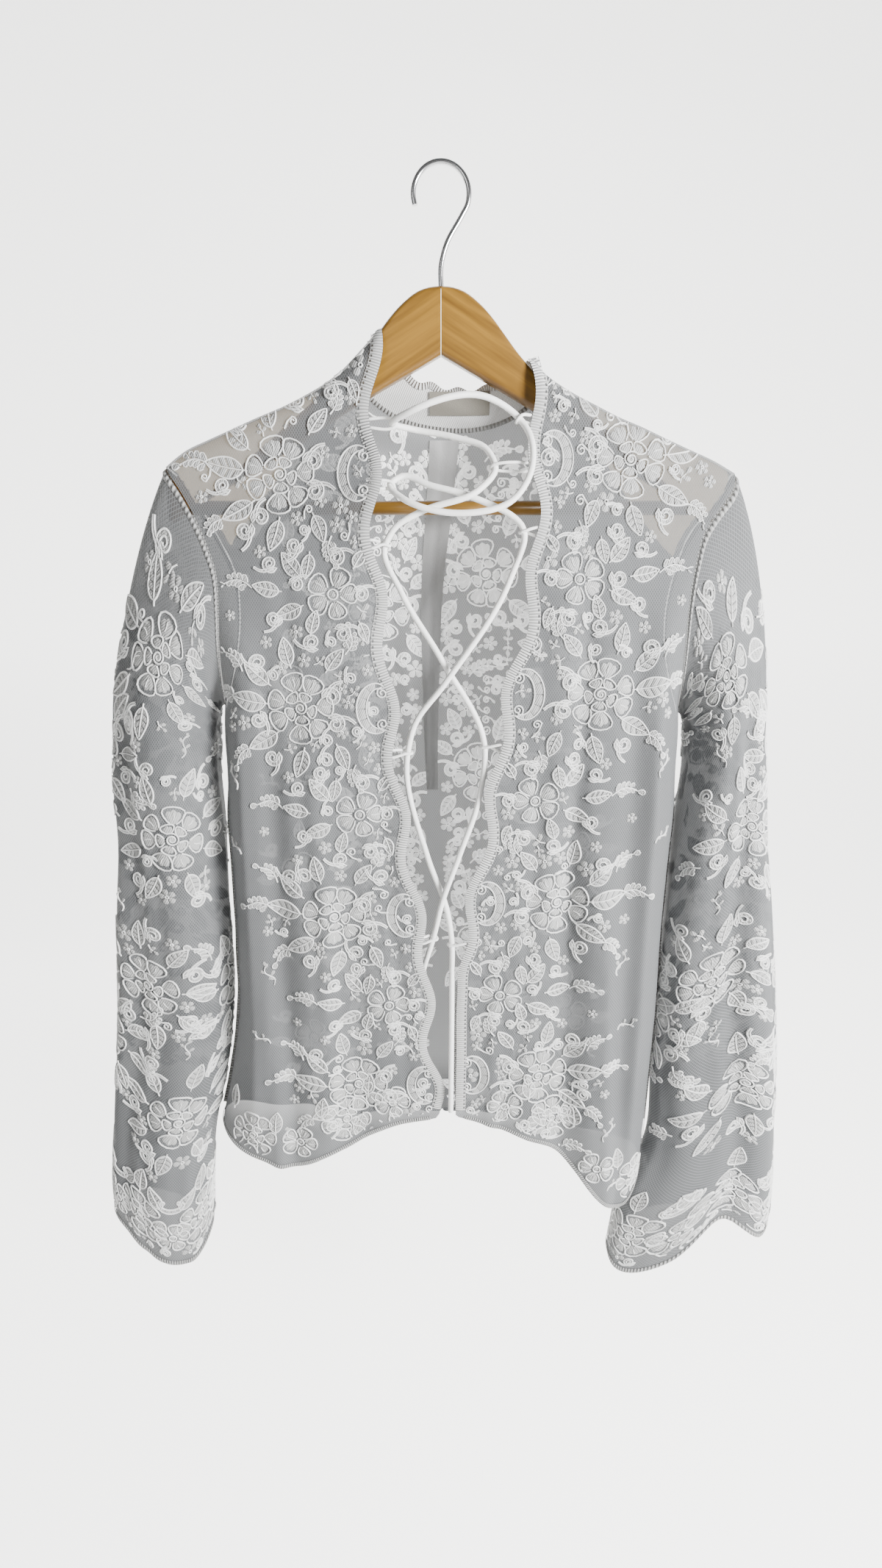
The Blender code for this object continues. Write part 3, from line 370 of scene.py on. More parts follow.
# One repeat of the front's pattern, with v measured from its rose.
FRONT_REPEAT = table(
    Motif, ("rose", 66, 0, 8, 1.0), ("leaf", 91, -3, 6, 1.15), ("leaf", 87, -17, 38, 0.95),
    ("leaf", 85, 18, -34, 1.0), ("leaf", 70, -30, 72, 0.85), ("leaf", 66, 30, -78, 0.9),
    ("leaf", 44, -27, 122, 0.8), ("leaf", 42, 27, -118, 0.8), ("spray", 112, -5, 4, 0.9),
    ("spray", 104, -26, 44, 0.75), ("spray", 102, 28, -42, 0.8), ("scroll", 21, 0, 180, 1.0),
    ("blossom", 36, -14, 0, 0.9), ("blossom", 38, 17, 40, 0.85), ("blossom", 16, -27, 20, 0.8),
    ("blossom", 16, 28, 70, 0.8), ("spray", 30, -38, 100, 0.7), ("spray", 30, 40, -96, 0.7),
    ("flower", 33, 78, 20, 1.0), ("leaf", 54, 66, 44, 0.85), ("leaf", 56, 86, -28, 0.85),
    ("leaf", 16, 60, 118, 0.6), ("leaf", 17, 97, -116, 0.6), ("leaf", 70, 76, 6, 0.8),
    ("spray", 88, 74, 8, 0.8), ("blossom", 60, 52, 0, 0.9), ("blossom", 62, 103, 0, 0.9),
    ("sprig", 122, 60, 70, 0.8), ("sprig", 128, 110, 30, 0.7), ("blossom", 106, 92, 0, 0.7),
    ("curl", 43, -8, 160, 1.0), ("curl", 42, 11, -150, 1.0), ("curl", 92, -32, 60, 0.95),
    ("curl", 90, 36, -50, 0.95), ("curl", 30, -52, 200, 0.9), ("curl", 28, 54, -160, 0.9),
    ("curl", 52, -46, 40, 0.9), ("curl", 56, 46, -30, 0.85), ("curl", 74, 58, 20, 0.8),
    ("curl", 76, 94, -20, 0.8), ("leaf", 52, -52, 100, 0.7), ("leaf", 46, 52, -84, 0.7),
    ("blossom", 84, -46, 0, 0.8), ("blossom", 80, 50, 0, 0.8), ("blossom", 120, 14, 0, 0.8),
    ("blossom", 16, -48, 0, 0.8), ("blossom", 14, 44, 0, 0.8), ("curl", 14, 78, 190, 0.8),
)
ROSE_DROPS = {LEFT: (29.0, 185.0, 341.0, 500.0, 652.0), RIGHT: (19.0, 175.0, 331.0, 490.0, 642.0)}
HEM_REPEAT = 39.0
HEM_MOTIF_INSET = 24.0

BACK_REPEAT = table(
    Motif, ("rose", 40, 0, 30, 1.0), ("leaf", 66, -6, 12, 1.0), ("leaf", 60, 20, -40, 0.95),
    ("leaf", 52, -28, 70, 0.85), ("leaf", 18, 20, -130, 0.85), ("leaf", 16, -16, 140, 0.8),
    ("spray", 86, -10, 20, 0.9), ("flower", 112, 62, 10, 1.0), ("leaf", 88, 56, 160, 0.9),
    ("leaf", 112, 34, 84, 0.8), ("leaf", 110, 92, -84, 0.8), ("leaf", 134, 66, 0, 0.8),
    ("spray", 30, 78, 20, 0.9), ("blossom", 46, 52, 0, 1.0), ("blossom", 14, 66, 0, 0.9),
    ("sprig", 66, 104, 60, 0.8), ("curl", 16, -2, 180, 0.95), ("curl", 70, 34, -20, 0.9),
    ("curl", 34, 34, -60, 0.9), ("curl", 84, 78, 200, 0.9), ("curl", 134, 92, -40, 0.9),
    ("curl", 136, 40, 40, 0.9), ("leaf", 22, -36, 110, 0.8), ("blossom", 30, -34, 0, 0.9),
    ("blossom", 78, 14, 0, 0.9), ("blossom", 96, 30, 0, 0.9), ("sprig", 126, -12, 40, 0.8),
)
BACK_ROSE_DROPS = (120.0, 276.0, 432.0, 588.0, 744.0)

# A cluster of the sleeve, round its rose.
SLEEVE_CLUSTER = table(
    Motif, ("rose", 0, 0, 10, 0.95), ("leaf", 26, -4, 4, 0.95), ("leaf", 20, 20, -46, 0.9),
    ("leaf", 20, -20, 48, 0.9), ("leaf", -26, 3, 184, 0.9), ("leaf", -20, -20, 132, 0.85),
    ("leaf", -18, 22, -130, 0.85), ("leaf", 0, 32, -90, 0.9), ("leaf", 0, -32, 90, 0.9),
    ("spray", 46, 8, -12, 0.8), ("spray", -44, -8, 168, 0.8), ("blossom", 34, -30, 0, 0.9),
    ("blossom", -34, 30, 0, 0.9), ("blossom", 6, 58, 0, 0.9), ("sprig", 10, -58, 84, 0.7),
    ("curl", 34, 8, -10, 1.0), ("curl", -34, -10, 170, 1.0), ("curl", 14, 44, -70, 0.95),
    ("curl", -14, -44, 110, 0.95), ("curl", -30, 40, -140, 0.9), ("curl", 30, -42, 50, 0.9),
    ("blossom", 26, 40, 0, 0.9), ("blossom", -26, -38, 0, 0.9),
)
Cluster = namedtuple("Cluster", "u v turn")
SLEEVE_CLUSTERS = {
    LEFT: table(
        Cluster, (52, 62, 0), (70, 186, 20), (48, 310, -10), (74, 424, 10), (170, 120, 180),
        (186, 250, 160), (168, 380, 190), (0, 130, 40), (6, 372, -30), (122, 322, 60),
    ),
    RIGHT: table(
        Cluster, (66, 58, 0), (44, 178, -20), (72, 300, 10), (46, 420, -10), (174, 120, 180),
        (190, 250, 160), (172, 390, 190), (4, 118, 40), (232, 356, -30), (122, 336, 60),
    ),
}
CUFF_REPEAT = 48.0

SLEEVE_FINE_CREASES = {
    LEFT: table(
        Crease, (0.08, 260, 700, 0.022, 1.6), (0.23, 330, 860, 0.020, -1.6), (0.37, 480, 860, 0.022, 1.8),
        (0.52, 300, 860, 0.022, -1.6), (0.76, 300, 860, 0.022, 1.6), (0.93, 420, 860, 0.022, -1.6),
    ),
    RIGHT: table(
        Crease, (0.06, 300, 860, 0.022, -1.6), (0.18, 480, 870, 0.020, 1.8),
        (0.29, 260, 760, 0.020, -1.6), (0.44, 420, 870, 0.022, 1.6), (0.70, 300, 860, 0.022, 1.6),
        (0.90, 300, 760, 0.022, -1.6),
    ),
}


def smooth_values(keys, values, at):
    """Values read at any place along increasing keys, on a smooth curve through the given ones."""
    keys = np.asarray(keys, float)
    values = np.asarray(values, float)
    slopes = np.gradient(values, keys)
    place = np.clip(at, keys[0], keys[-1])
    first = np.clip(np.searchsorted(keys, place) - 1, 0, len(keys) - 2)
    span = keys[first + 1] - keys[first]
    part = (place - keys[first]) / span
    start_weight = 2 * part**3 - 3 * part**2 + 1
    start_slope = part**3 - 2 * part**2 + part
    end_weight = 3 * part**2 - 2 * part**3
    end_slope = part**3 - part**2
    return (
        start_weight * values[first]
        + start_slope * span * slopes[first]
        + end_weight * values[first + 1]
        + end_slope * span * slopes[first + 1]
    )


def column_at(table, column, key, at):
    """One column of a table of rows, read by its key column."""
    keys = [getattr(row, key) for row in table]
    values = [getattr(row, column) for row in table]
    if keys[0] > keys[-1]:
        keys.reverse()
        values.reverse()
    return smooth_values(keys, values, at)


def smooth_step(part):
    part = np.clip(part, 0.0, 1.0)
    return part * part * (3 - 2 * part)


def reach_along(points):
    """The distance along a path at each of its points."""
    return np.concatenate([[0.0], np.cumsum(np.linalg.norm(np.diff(points, axis=0), axis=1))])


def smooth_path(points, count):
    """Even places along a smooth curve through the points."""
    points = np.asarray(points, float)
    reach = reach_along(points)
    fine = np.linspace(0.0, reach[-1], 12 * len(points))
    curve = np.stack([smooth_values(reach, column, fine) for column in points.T], axis=1)
    length = reach_along(curve)
    even = np.linspace(0.0, 1.0, count) * length[-1]
    return np.stack([np.interp(even, length, column) for column in curve.T], axis=1)


def flat_places(u, v):
    """Flat places from coordinates that are spread over one grid."""
    return np.stack(np.broadcast_arrays(u, v), axis=-1)


def crest_drop(x):
    """The drop of the top of the cloth, where it goes over the hanger."""
    return column_at(SHOULDER_LINE, "drop", "x", x)


def fold_lift(folds, x, drop):
    lift = 0.0
    for fold in folds:
        fade = smooth_step((drop - fold.top) / 90.0) * smooth_step((fold.bottom + 60.0 - drop) / 120.0)
        middle = fold.x + fold.lean * (drop - fold.top) / (fold.bottom - fold.top)
        lift = lift + fold.lift * fade * np.exp(-(((x - middle) / fold.width) ** 2))
    return lift


def eased(drop):
    """How far body and arm have eased towards each other: from none at the armhole to all well below it."""
    return smooth_step((drop - SIDE_EASE_FROM) / 60.0)


def side_turn(side, drop):
    """How far the cloth has turned at its outer edge, up to a quarter turn at the side seam."""
    return np.radians(np.clip(column_at(OUTER_EDGE[side], "turn", "drop", drop), 0.0, 90.0))


def side_seam_x(side, drop):
    """The outer edge of the body, eased out towards the arm below the armhole."""
    return column_at(OUTER_EDGE[side], "x", "drop", drop) + side * SIDE_EASE * eased(drop)


def body_surface(side, facing, x, drop):
    """Places on the hanging form of flat places in x and drop."""
    x = np.asarray(x, float)
    drop = np.asarray(drop, float)
    turn_end = side_turn(side, drop)
    seam_x = side_seam_x(side, drop)
    bend_x = seam_x - side * SIDE_REACH * np.sin(turn_end)
    turn = np.maximum(0.0, side * (x - bend_x) / SIDE_TURN_LENGTH)
    place_x = np.where(turn == 0.0, x, bend_x + side * SIDE_REACH * np.sin(turn))
    below = drop - crest_drop(place_x)
    near_crest = np.clip(below / CREST_FALL, 0.0, 1.0)
    depth = CREST_HALF * np.sqrt(1 - (1 - near_crest) ** 2)
    full = column_at(BODY_DEPTH, "front" if facing == FRONT else "back", "drop", drop)
    lower = smooth_step(below / FALL_TO_FULL_DEPTH)
    depth = depth + (full - CREST_HALF) * lower
    folds = (FRONT_FOLDS if facing == FRONT else BACK_FOLDS)[side]
    fine = (FRONT_FINE_FOLDS if facing == FRONT else BACK_FINE_FOLDS)[side]
    depth = depth + (fold_lift(folds, x, drop) + FINE_FOLD_GAIN * fold_lift(fine, x, drop)) * lower
    return np.stack([place_x, facing * depth * np.cos(turn), -drop], axis=-1)


def flat_outer_x(side, drop):
    """The flat x of a panel's outer edge."""
    turn_end = side_turn(side, drop)
    seam_x = side_seam_x(side, drop)
    return seam_x - side * SIDE_REACH * np.sin(turn_end) + side * SIDE_TURN_LENGTH * turn_end


def straight_opening_x(side, drop):
    return column_at(EDGING[side].opening, "x", "drop", drop)


def centre_back_x(drop):
    return column_at(CENTRE_BACK, "x", "drop", drop)


def opening_x(side, drop):
    """The scalloped front edge."""
    edging = EDGING[side]
    scallop = np.cos(2 * math.pi * (drop - edging.crest) / SCALLOP_PITCH)
    kept = 1.0 - smooth_step((drop - edging.fade_start) / (edging.fade_end - edging.fade_start))
    return straight_opening_x(side, drop) - side * SCALLOP_HEIGHT * scallop * kept


def hem_line(hem, x):
    """The drop of a scalloped hem."""
    return column_at(hem, "drop", "x", x) + HEM_SCALLOP * np.cos(2 * math.pi * x / SCALLOP_PITCH)


def band_seam_drop(x):
    """The drop of the seam between the neck band and the backs."""
    return np.interp(x, [row.x for row in BAND_SEAM], [row.drop for row in BAND_SEAM])


def unit(vectors):
    return vectors / np.maximum(np.linalg.norm(vectors, axis=-1, keepdims=True), 1e-9)


class BodyPanel:
    """The flat plane of one front or back: u is the flat x, v is the drop."""

    def __init__(self, side, facing):
        self.side = side
        self.facing = facing

    def places(self, u, v, lift=0.0):
        """Places of flat points, lifted outwards."""
        step = 0.5
        here = body_surface(self.side, self.facing, u, v)
        across = body_surface(self.side, self.facing, np.asarray(u) + step, v) - here
        down = body_surface(self.side, self.facing, u, np.asarray(v) + step) - here
        normal = unit(np.cross(across, down))
        normal = normal * self.facing
        return here + normal * np.asarray(lift)[..., None]

    def straight(self, v):
        if self.facing == FRONT:
            return straight_opening_x(self.side, v)
        return centre_back_x(v)

    def inside(self, u, v, margin):
        """True where a flat point is on the panel and margin inside its edges."""
        hem = FRONT_HEM if self.facing == FRONT else BACK_HEM
        inner = opening_x(self.side, v) if self.facing == FRONT else self.straight(v)
        clear_inner = self.side * (u - inner) > (margin if self.facing == FRONT else 0.5)
        clear_outer = self.side * (flat_outer_x(self.side, v) - u) > 1.5
        clear_hem = hem_line(hem[self.side], u) - v > margin
        clear_top = v - crest_drop(np.clip(u, -190, 203)) > 2.0
        if self.facing == BACK:
            clear_top = clear_top & (v > band_seam_drop(u) + 1.5)
        return clear_inner & clear_outer & clear_hem & clear_top

    def turned(self, motif):
        """The centre of a motif on the panel, its heading and its mirroring."""
        centre_v = motif.v
        centre_u = float(self.straight(centre_v)) + self.side * motif.u
        return centre_u, centre_v, self.side


class SleevePanel:
    """The flat plane of one sleeve: u runs round the arm, v from the armhole to the cuff."""

    def __init__(self, side):
        self.side = side
        self.grid = sleeve_surface(side)
        middle = self.grid.mean(axis=1)
        steps = np.linalg.norm(np.diff(self.grid, axis=0), axis=2).mean(axis=1)
        self.down = np.concatenate([[0.0], np.cumsum(steps)])
        across = np.roll(self.grid, -1, axis=1) - np.roll(self.grid, 1, axis=1)
        along = np.gradient(self.grid, axis=0)
        self.normals = unit(np.cross(across, along))
        outward = (self.normals * (self.grid - middle[:, None, :])).sum(axis=2)
        if np.median(outward) < 0:
            self.normals = -self.normals

    def read(self, table, u, v):
        rows = np.interp(np.clip(v, 0.0, self.down[-1]), self.down, np.arange(len(self.down)))
        columns = (np.asarray(u, float) / ROUND_ARM % 1.0) * SLEEVE_SIDES
        row = np.clip(np.floor(rows).astype(int), 0, len(self.down) - 2)
        column = np.floor(columns).astype(int) % SLEEVE_SIDES
        beside = (column + 1) % SLEEVE_SIDES
        down = (rows - row)[..., None]
        across = (columns - np.floor(columns))[..., None]
        upper = table[row, column] * (1 - across) + table[row, beside] * across
        lower = table[row + 1, column] * (1 - across) + table[row + 1, beside] * across
        return upper * (1 - down) + lower * down

    def places(self, u, v, lift=0.0):
        u = np.asarray(u, float)
        v = np.asarray(v, float)
        lifted = unit(self.read(self.normals, u, v)) * np.asarray(lift)[..., None]
        return self.read(self.grid, u, v) + lifted

    def inside(self, u, v, margin):
        return (v > 3.0) & (v < self.down[-1] - margin)

    def turned(self, motif):
        return motif.u, motif.v, self.side


def drops_down(first, last, rows):
    """Drops of a panel's rows: close together over the crest, then even."""
    return np.concatenate([first + np.array(CREST_STEPS), np.linspace(first + CREST_EVEN, last, rows)])


def patch(top, bottom, inner, outer):
    """A flat grid between four edges: rows run down, columns run from the inner to the outer edge."""
    down = ((outer[:, 1] - outer[0, 1]) / (outer[-1, 1] - outer[0, 1]))[:, None, None]
    across = np.linspace(0.0, 1.0, len(top))[None, :, None]
    ruled_down = (1 - down) * top[None] + down * bottom[None]
    ruled_across = (1 - across) * inner[:, None] + across * outer[:, None]
    corners = (1 - down) * ((1 - across) * top[0] + across * top[-1])
    corners = corners + down * ((1 - across) * bottom[0] + across * bottom[-1])
    return ruled_down + ruled_across - corners


def panel_grid(side, top, inner_x, hem, hem_start):
    """The flat grid of a panel below its top edge, with its inner edge, its outer edge and its hem."""
    drops = drops_down(top[0, 1], hem_start, PANEL_ROWS)
    inner = np.stack([inner_x(drops), drops], axis=1)
    outer_drops = drops_down(top[-1, 1], hem[-1].drop, PANEL_ROWS)
    outer = np.stack([flat_outer_x(side, outer_drops), outer_drops], axis=1)
    inner[0] = top[0]
    outer[0] = top[-1]
    hem_x = np.linspace(inner[-1, 0], outer[-1, 0], PANEL_COLUMNS)
    bottom = np.stack([hem_x, hem_line(hem, hem_x)], axis=1)
    bottom[0, 1] = inner[-1, 1]
    bottom[-1, 1] = outer[-1, 1]
    return patch(top, bottom, inner, outer)


def front_grid(side):
    """The flat grid of one front, with its scalloped edge and hem."""
    top_x = np.linspace(NECK_POINT_X[side], SHOULDER_POINT_X[side] - side * SEAM_GAP, PANEL_COLUMNS)
    top = np.stack([top_x, crest_drop(top_x) + SEAM_GAP], axis=1)
    hem_start = EDGING[side].hem_drop
    return panel_grid(side, top, lambda drops: opening_x(side, drops), FRONT_HEM[side], hem_start)


def back_grid(side):
    """The flat grid of one back, below the neck band and the shoulder seam."""
    top_x = np.linspace(CENTRE_BACK[0].x, SHOULDER_POINT_X[side] - side * SEAM_GAP, PANEL_COLUMNS)
    beyond = side * (top_x - BAND_END_X[side]) > 0
    top = np.stack([top_x, np.where(beyond, crest_drop(top_x) + SEAM_GAP, band_seam_drop(top_x))], axis=1)
    return panel_grid(side, top, centre_back_x, BACK_HEM[side], BACK_HEM[side][0].drop)


def band_grid():
    """The flat grid of the band round the back neck, from its scalloped top edge to its seam."""
    top = smooth_path([(row.x, row.drop + SEAM_GAP) for row in BAND_TOP], BAND_COLUMNS)
    along = reach_along(top)
    fade = np.sin(math.pi * along / along[-1])
    top[:, 1] += NECK_SCALLOP_HEIGHT * fade * np.cos(2 * math.pi * along / NECK_SCALLOP_PITCH)
    bottom = smooth_path(BAND_SEAM, BAND_COLUMNS)
    share = np.linspace(0.0, 1.0, BAND_ROWS)[:, None, None]
    return (1 - share) * top[None] + share * bottom[None]


def back_surface(x, drop, lift=0.0):
    """Places on the whole back, lifted outwards."""
    left = BodyPanel(LEFT, BACK).places(x, drop, lift)
    right = BodyPanel(RIGHT, BACK).places(x, drop, lift)
    return np.where((np.asarray(x) < CENTRE_BACK[0].x)[..., None], left, right)


def armhole_ring(side):
    """The seam round the arm: from the shoulder point down the front to the underarm, and up the back."""
    drops = np.linspace(float(crest_drop(SHOULDER_POINT_X[side])), UNDERARM_DROP[side], 60)
    lines = []
    for facing in (FRONT, BACK):
        line = body_surface(side, facing, flat_outer_x(side, drops), drops)
        line[0] = (SHOULDER_POINT_X[side], 0.0, -drops[0])
        lines.append(smooth_path(line, SLEEVE_SIDES // 2 + 1))
    return np.concatenate([lines[0], lines[1][-2:0:-1]])


def sleeve_oval(side, drops):
    """One ring of the arm, with its own drop for each place round it."""
    angle = 2 * math.pi * np.arange(SLEEVE_SIDES) / SLEEVE_SIDES
    sections = SLEEVE_SECTIONS[side]
    outer = column_at(sections, "outer", "drop", drops)
    inner = column_at(sections, "inner", "drop", drops)
    inner = inner - side * SIDE_EASE * eased(drops)
    front = column_at(sections, "front", "drop", drops)
    back = column_at(sections, "back", "drop", drops)
    x = (outer + inner) / 2 + (outer - inner) / 2 * np.cos(angle)
    y = (front + back) / 2 - (back - front) / 2 * np.sin(angle)
    return np.stack([x, y, -drops * np.ones(SLEEVE_SIDES)], axis=1)


def cuff_drops(side):
    around = np.arange(SLEEVE_SIDES) / SLEEVE_SIDES
    rows = CUFF_EDGE[side]
    keys = [row.around for row in rows] + [1.0]
    values = [row.drop for row in rows] + [rows[0].drop]
    return smooth_values(keys, values, around)


def sleeve_surface(side):
    """The rings of one sleeve, from the armhole to the cuff."""
    around = np.arange(SLEEVE_SIDES) / SLEEVE_SIDES
    topness = (1 + np.cos(2 * math.pi * around)) / 2
    frontness = -np.sin(2 * math.pi * around)
    sideways = side * (0.95 - 0.45 * topness)
    leaving = unit(np.stack([sideways, 0.25 * frontness, -0.25 - 0.62 * topness], axis=1))
    start = armhole_ring(side) + leaving * ARMHOLE_STEP
    first_drop = SLEEVE_SECTIONS[side][0].drop
    end = sleeve_oval(side, np.full(SLEEVE_SIDES, float(first_drop)))
    stretch = np.linalg.norm(end - start, axis=1, keepdims=True)
    start_pull = leaving * stretch * 0.7
    end_pull = np.array([0.0, 0.0, -1.0]) * stretch * 0.8
    rings = []
    for part in np.linspace(0.0, 1.0, SLEEVE_HEAD_RINGS):
        ring = (2 * part**3 - 3 * part**2 + 1) * start + (part**3 - 2 * part**2 + part) * start_pull
        rings.append(ring + (3 * part**2 - 2 * part**3) * end + (part**3 - part**2) * end_pull)
    lowest = cuff_drops(side)
    for part in np.linspace(0.0, 1.0, SLEEVE_ARM_RINGS + 1)[1:]:
        rings.append(sleeve_oval(side, first_drop + (lowest - first_drop) * part))
    places = np.array(rings)
    across = np.roll(places, -1, axis=1) - np.roll(places, 1, axis=1)
    normals = unit(np.cross(across, np.gradient(places, axis=0)))
    middle = places.mean(axis=1, keepdims=True)
    outward = np.sign((normals * (places - middle)).sum(axis=2, keepdims=True))
    drop = -places[..., 2]
    lift = np.zeros(places.shape[:2])
    for crease in SLEEVE_CREASES[side] + SLEEVE_FINE_CREASES[side]:
        fade = smooth_step((drop - crease.top) / 80.0) * smooth_step((crease.bottom + 60.0 - drop) / 120.0)
        middle_around = crease.around + 0.02 * np.sin(drop / 70.0)
        apart = (around[None, :] - middle_around + 0.5) % 1.0 - 0.5
        lift += crease.lift * fade * np.exp(-((apart / crease.width) ** 2))
    return places + normals * outward * lift[..., None]


class Drawing:
    """A motif drawn flat in millimetres: filled shapes and raised threads, each on a layer."""

    def __init__(self):
        self.fills = []
        self.threads = []

    def fill(self, points, layer=0):
        self.fills.append((np.asarray(points, float), layer))

    def thread(self, points, layer=0, width=THREAD_WIDE):
        self.threads.append((np.asarray(points, float), layer, width))


def turned_to(points, centre, degrees):
    angle = math.radians(degrees)
    turn = np.array([[math.cos(angle), -math.sin(angle)], [math.sin(angle), math.cos(angle)]])
    return np.asarray(points, float) @ turn.T + np.asarray(centre, float)


def petal(length, width, count=14):
    """A rounded petal along the first axis, wider towards its tip."""
    turn = np.linspace(0.0, 2 * math.pi, count + 1)[:-1]
    along = (1 - np.cos(turn)) / 2
    return np.stack([length * along, width / 2 * np.sin(turn) * (0.5 + 0.7 * along)], axis=1)


def arc(radius, start, end, count):
    turn = np.radians(np.linspace(start, end, count))
    return np.stack([radius * np.cos(turn), radius * np.sin(turn)], axis=1)


def inset(points, share):
    centre = points.mean(axis=0)
    return centre + (points - centre) * share


def whorl(drawing, petals, root, length, width, turn, layer, vein=True):
    """A ring of petals, each with a raised rim, an open line inside it and a short vein."""
    for number in range(petals):
        heading = turn + 360.0 * number / petals + 5.0 * math.sin(2.3 * number + turn)
        grow = 1.0 + 0.08 * math.sin(1.7 * number + turn)
        outline = petal(length * grow, width * grow)
        centre = (root * math.cos(math.radians(heading)), root * math.sin(math.radians(heading)))
        if width > LOBED_PETAL:
            for lobe, reach in ((-1, 0.84), (0, 0.9), (1, 0.84)):
                inner = petal(length * reach, width * 0.33, 10)
                spread = heading + lobe * math.degrees(0.3 * width / length)
                drawing.fill(turned_to(inner, centre, spread), layer)
        else:
            drawing.fill(turned_to(inset(outline, PETAL_INSET), centre, heading), layer)
        drawing.thread(turned_to(outline[1:], centre, heading), layer + 0.3)
        if vein:
            inner = np.array([[0.3, 0.0], [0.5, 0.04], [0.72, 0.0]]) * length
            drawing.thread(turned_to(inner, centre, heading), layer + 0.6, VEIN_THREAD)


def band(drawing, path, half):
    """A scrolling band along a path: close work between two raised rims."""
    along = unit(np.gradient(path, axis=0))
    beside = np.stack([-along[:, 1], along[:, 0]], axis=1) * half[:, None]
    first = path + beside
    second = path - beside
    for number in range(0, len(path) - 1, 3):
        strip = np.concatenate([first[number : number + 4], second[number : number + 4][::-1]])
        drawing.fill(inset(strip, 0.95), 0.1)
    drawing.thread(first, 0.4)
    drawing.thread(second, 0.4)


def spiral(start, end, turns, heading, count):
    """A path that winds in from a reach to a smaller one."""
    share = np.linspace(0.0, 1.0, count)
    reach = start + (end - start) * share**0.8
    turn = math.radians(heading) + 2 * math.pi * turns * share
    return np.stack([reach * np.cos(turn), reach * np.sin(turn)], axis=1)


def rose():
    """Two whorls of petals round a wound thread."""
    drawing = Drawing()
    whorl(drawing, 7, 11.6, 12.8, 17.0, 12.0, 0.0)
    whorl(drawing, 5, 4.9, 6.8, 10.6, 40.0, 0.4, vein=False)
    drawing.fill(arc(2.4, 0, 330, 12), 0.4)
    drawing.thread(spiral(5.6, 1.0, 2.0, 30.0, 30), 1.0)
    return drawing


def flower():
    """Five petals round a ringed middle."""
    drawing = Drawing()
    whorl(drawing, 5, 4.6, 12.8, 14.8, 90.0, 0.0)
    drawing.fill(arc(2.2, 0, 330, 9), 0.4)
    drawing.thread(arc(3.4, 0, 360, 14), 0.4)
    return drawing


def curl():
    """A small scroll: a band that winds into a curl, with a tail that leaves it."""
    drawing = Drawing()
    wound = spiral(6.6, 1.8, 1.25, 200.0, 22)
    tail = np.linspace((12.0, -7.5), wound[0], 7)[:-1]
    tail[:, 1] -= 2.6 * np.sin(np.linspace(0.0, math.pi, 6))
    path = np.concatenate([tail, wound])
    half = 0.5 + 1.0 * np.sin(np.linspace(0.05, math.pi, len(path)))
    band(drawing, path, half)
    return drawing


def blossom():
    drawing = Drawing()
    for number in range(5):
        heading = 72.0 * number
        centre = (math.cos(math.radians(heading)), math.sin(math.radians(heading)))
        drawing.fill(turned_to(petal(4.8, 4.7, 8), centre, heading), 0.0)
    drawing.thread(arc(1.1, 0, 360, 7), 0.6, FINE_THREAD)
    return drawing


def leaf_edge(share, length, width):
    """Half the width of a pointed leaf at a share of its length."""
    return width / 2 * np.sin(math.pi * share**0.8) ** 0.85


def leaf():
    """A pointed leaf along the first axis, its lobes apart at the midrib and at the veins."""
    drawing = Drawing()
    length = 23.0
    width = 12.0
    bow = 2.6
    lobes = 5
    for half in (-1, 1):
        for number in range(lobes):
            start = 0.02 + 0.93 * number / lobes
            end = 0.02 + 0.93 * (number + 1) / lobes - 0.028
            inner = np.array([start, end])
            outer = np.clip(np.linspace(end + 0.12, start + 0.12, 4), 0.0, 0.99)
            rim = half * leaf_edge(outer, length, width)
            root = half * 0.55 * np.ones(2)
            share = np.concatenate([inner, outer])
            side = np.concatenate([root, rim])
            points = np.stack([length * share, side + bow * share**2], axis=1)
            drawing.fill(points, 0.2)
        share = np.linspace(0.0, 1.0, 13)
        rim = np.stack([length * share, half * leaf_edge(share, length, width) + bow * share**2], axis=1)
        drawing.thread(rim, 0.3)
    share = np.linspace(-0.12, 0.9, 8)
    drawing.thread(np.stack([length * share, bow * share**2], axis=1), 0.4, FINE_THREAD)
    return drawing


def spray():
    """A curved stem with pairs of small leaves and a bud at its end."""
    drawing = Drawing()
    share = np.linspace(0.0, 1.0, 12)
    stem = np.stack([25.0 * share, 5.0 * np.sin(math.pi * share)], axis=1)
    drawing.thread(stem, 0.2, THREAD_WIDE * 0.9)
    for number, place in enumerate((2, 4, 6, 8)):
        for half in (-1, 1):
            outline = petal(8.5 - 0.9 * number, 4.6 - 0.3 * number, 8)
            heading = half * 48.0 + 10.0 - 5.0 * number
            drawing.fill(turned_to(outline, stem[place], heading), 0.0)
            drawing.thread(turned_to(outline[1:-1], stem[place], heading), 0.1, VEIN_THREAD)
    drawing.fill(turned_to(petal(6.5, 5.2, 9), stem[-1], -20.0), 0.2)
    drawing.thread(turned_to(petal(6.5, 5.2, 9), stem[-1], -20.0), 0.3, FINE_THREAD)
    return drawing


def sprig():
    """A thin stem with single leaves, for the plain net."""
    drawing = Drawing()
    share = np.linspace(0.0, 1.0, 10)
    stem = np.stack([22.0 * share, 3.0 * np.sin(2 * math.pi * share)], axis=1)
    drawing.thread(stem, 0.1, FINE_THREAD)
    for number, place in enumerate((2, 4, 6, 8)):
        heading = 50.0 if number % 2 else -46.0
        drawing.fill(turned_to(petal(6.5, 3.8, 8), stem[place], heading), 0.0)
    drawing.fill(turned_to(petal(5.0, 4.0, 8), stem[-1], 0.0), 0.0)
    return drawing


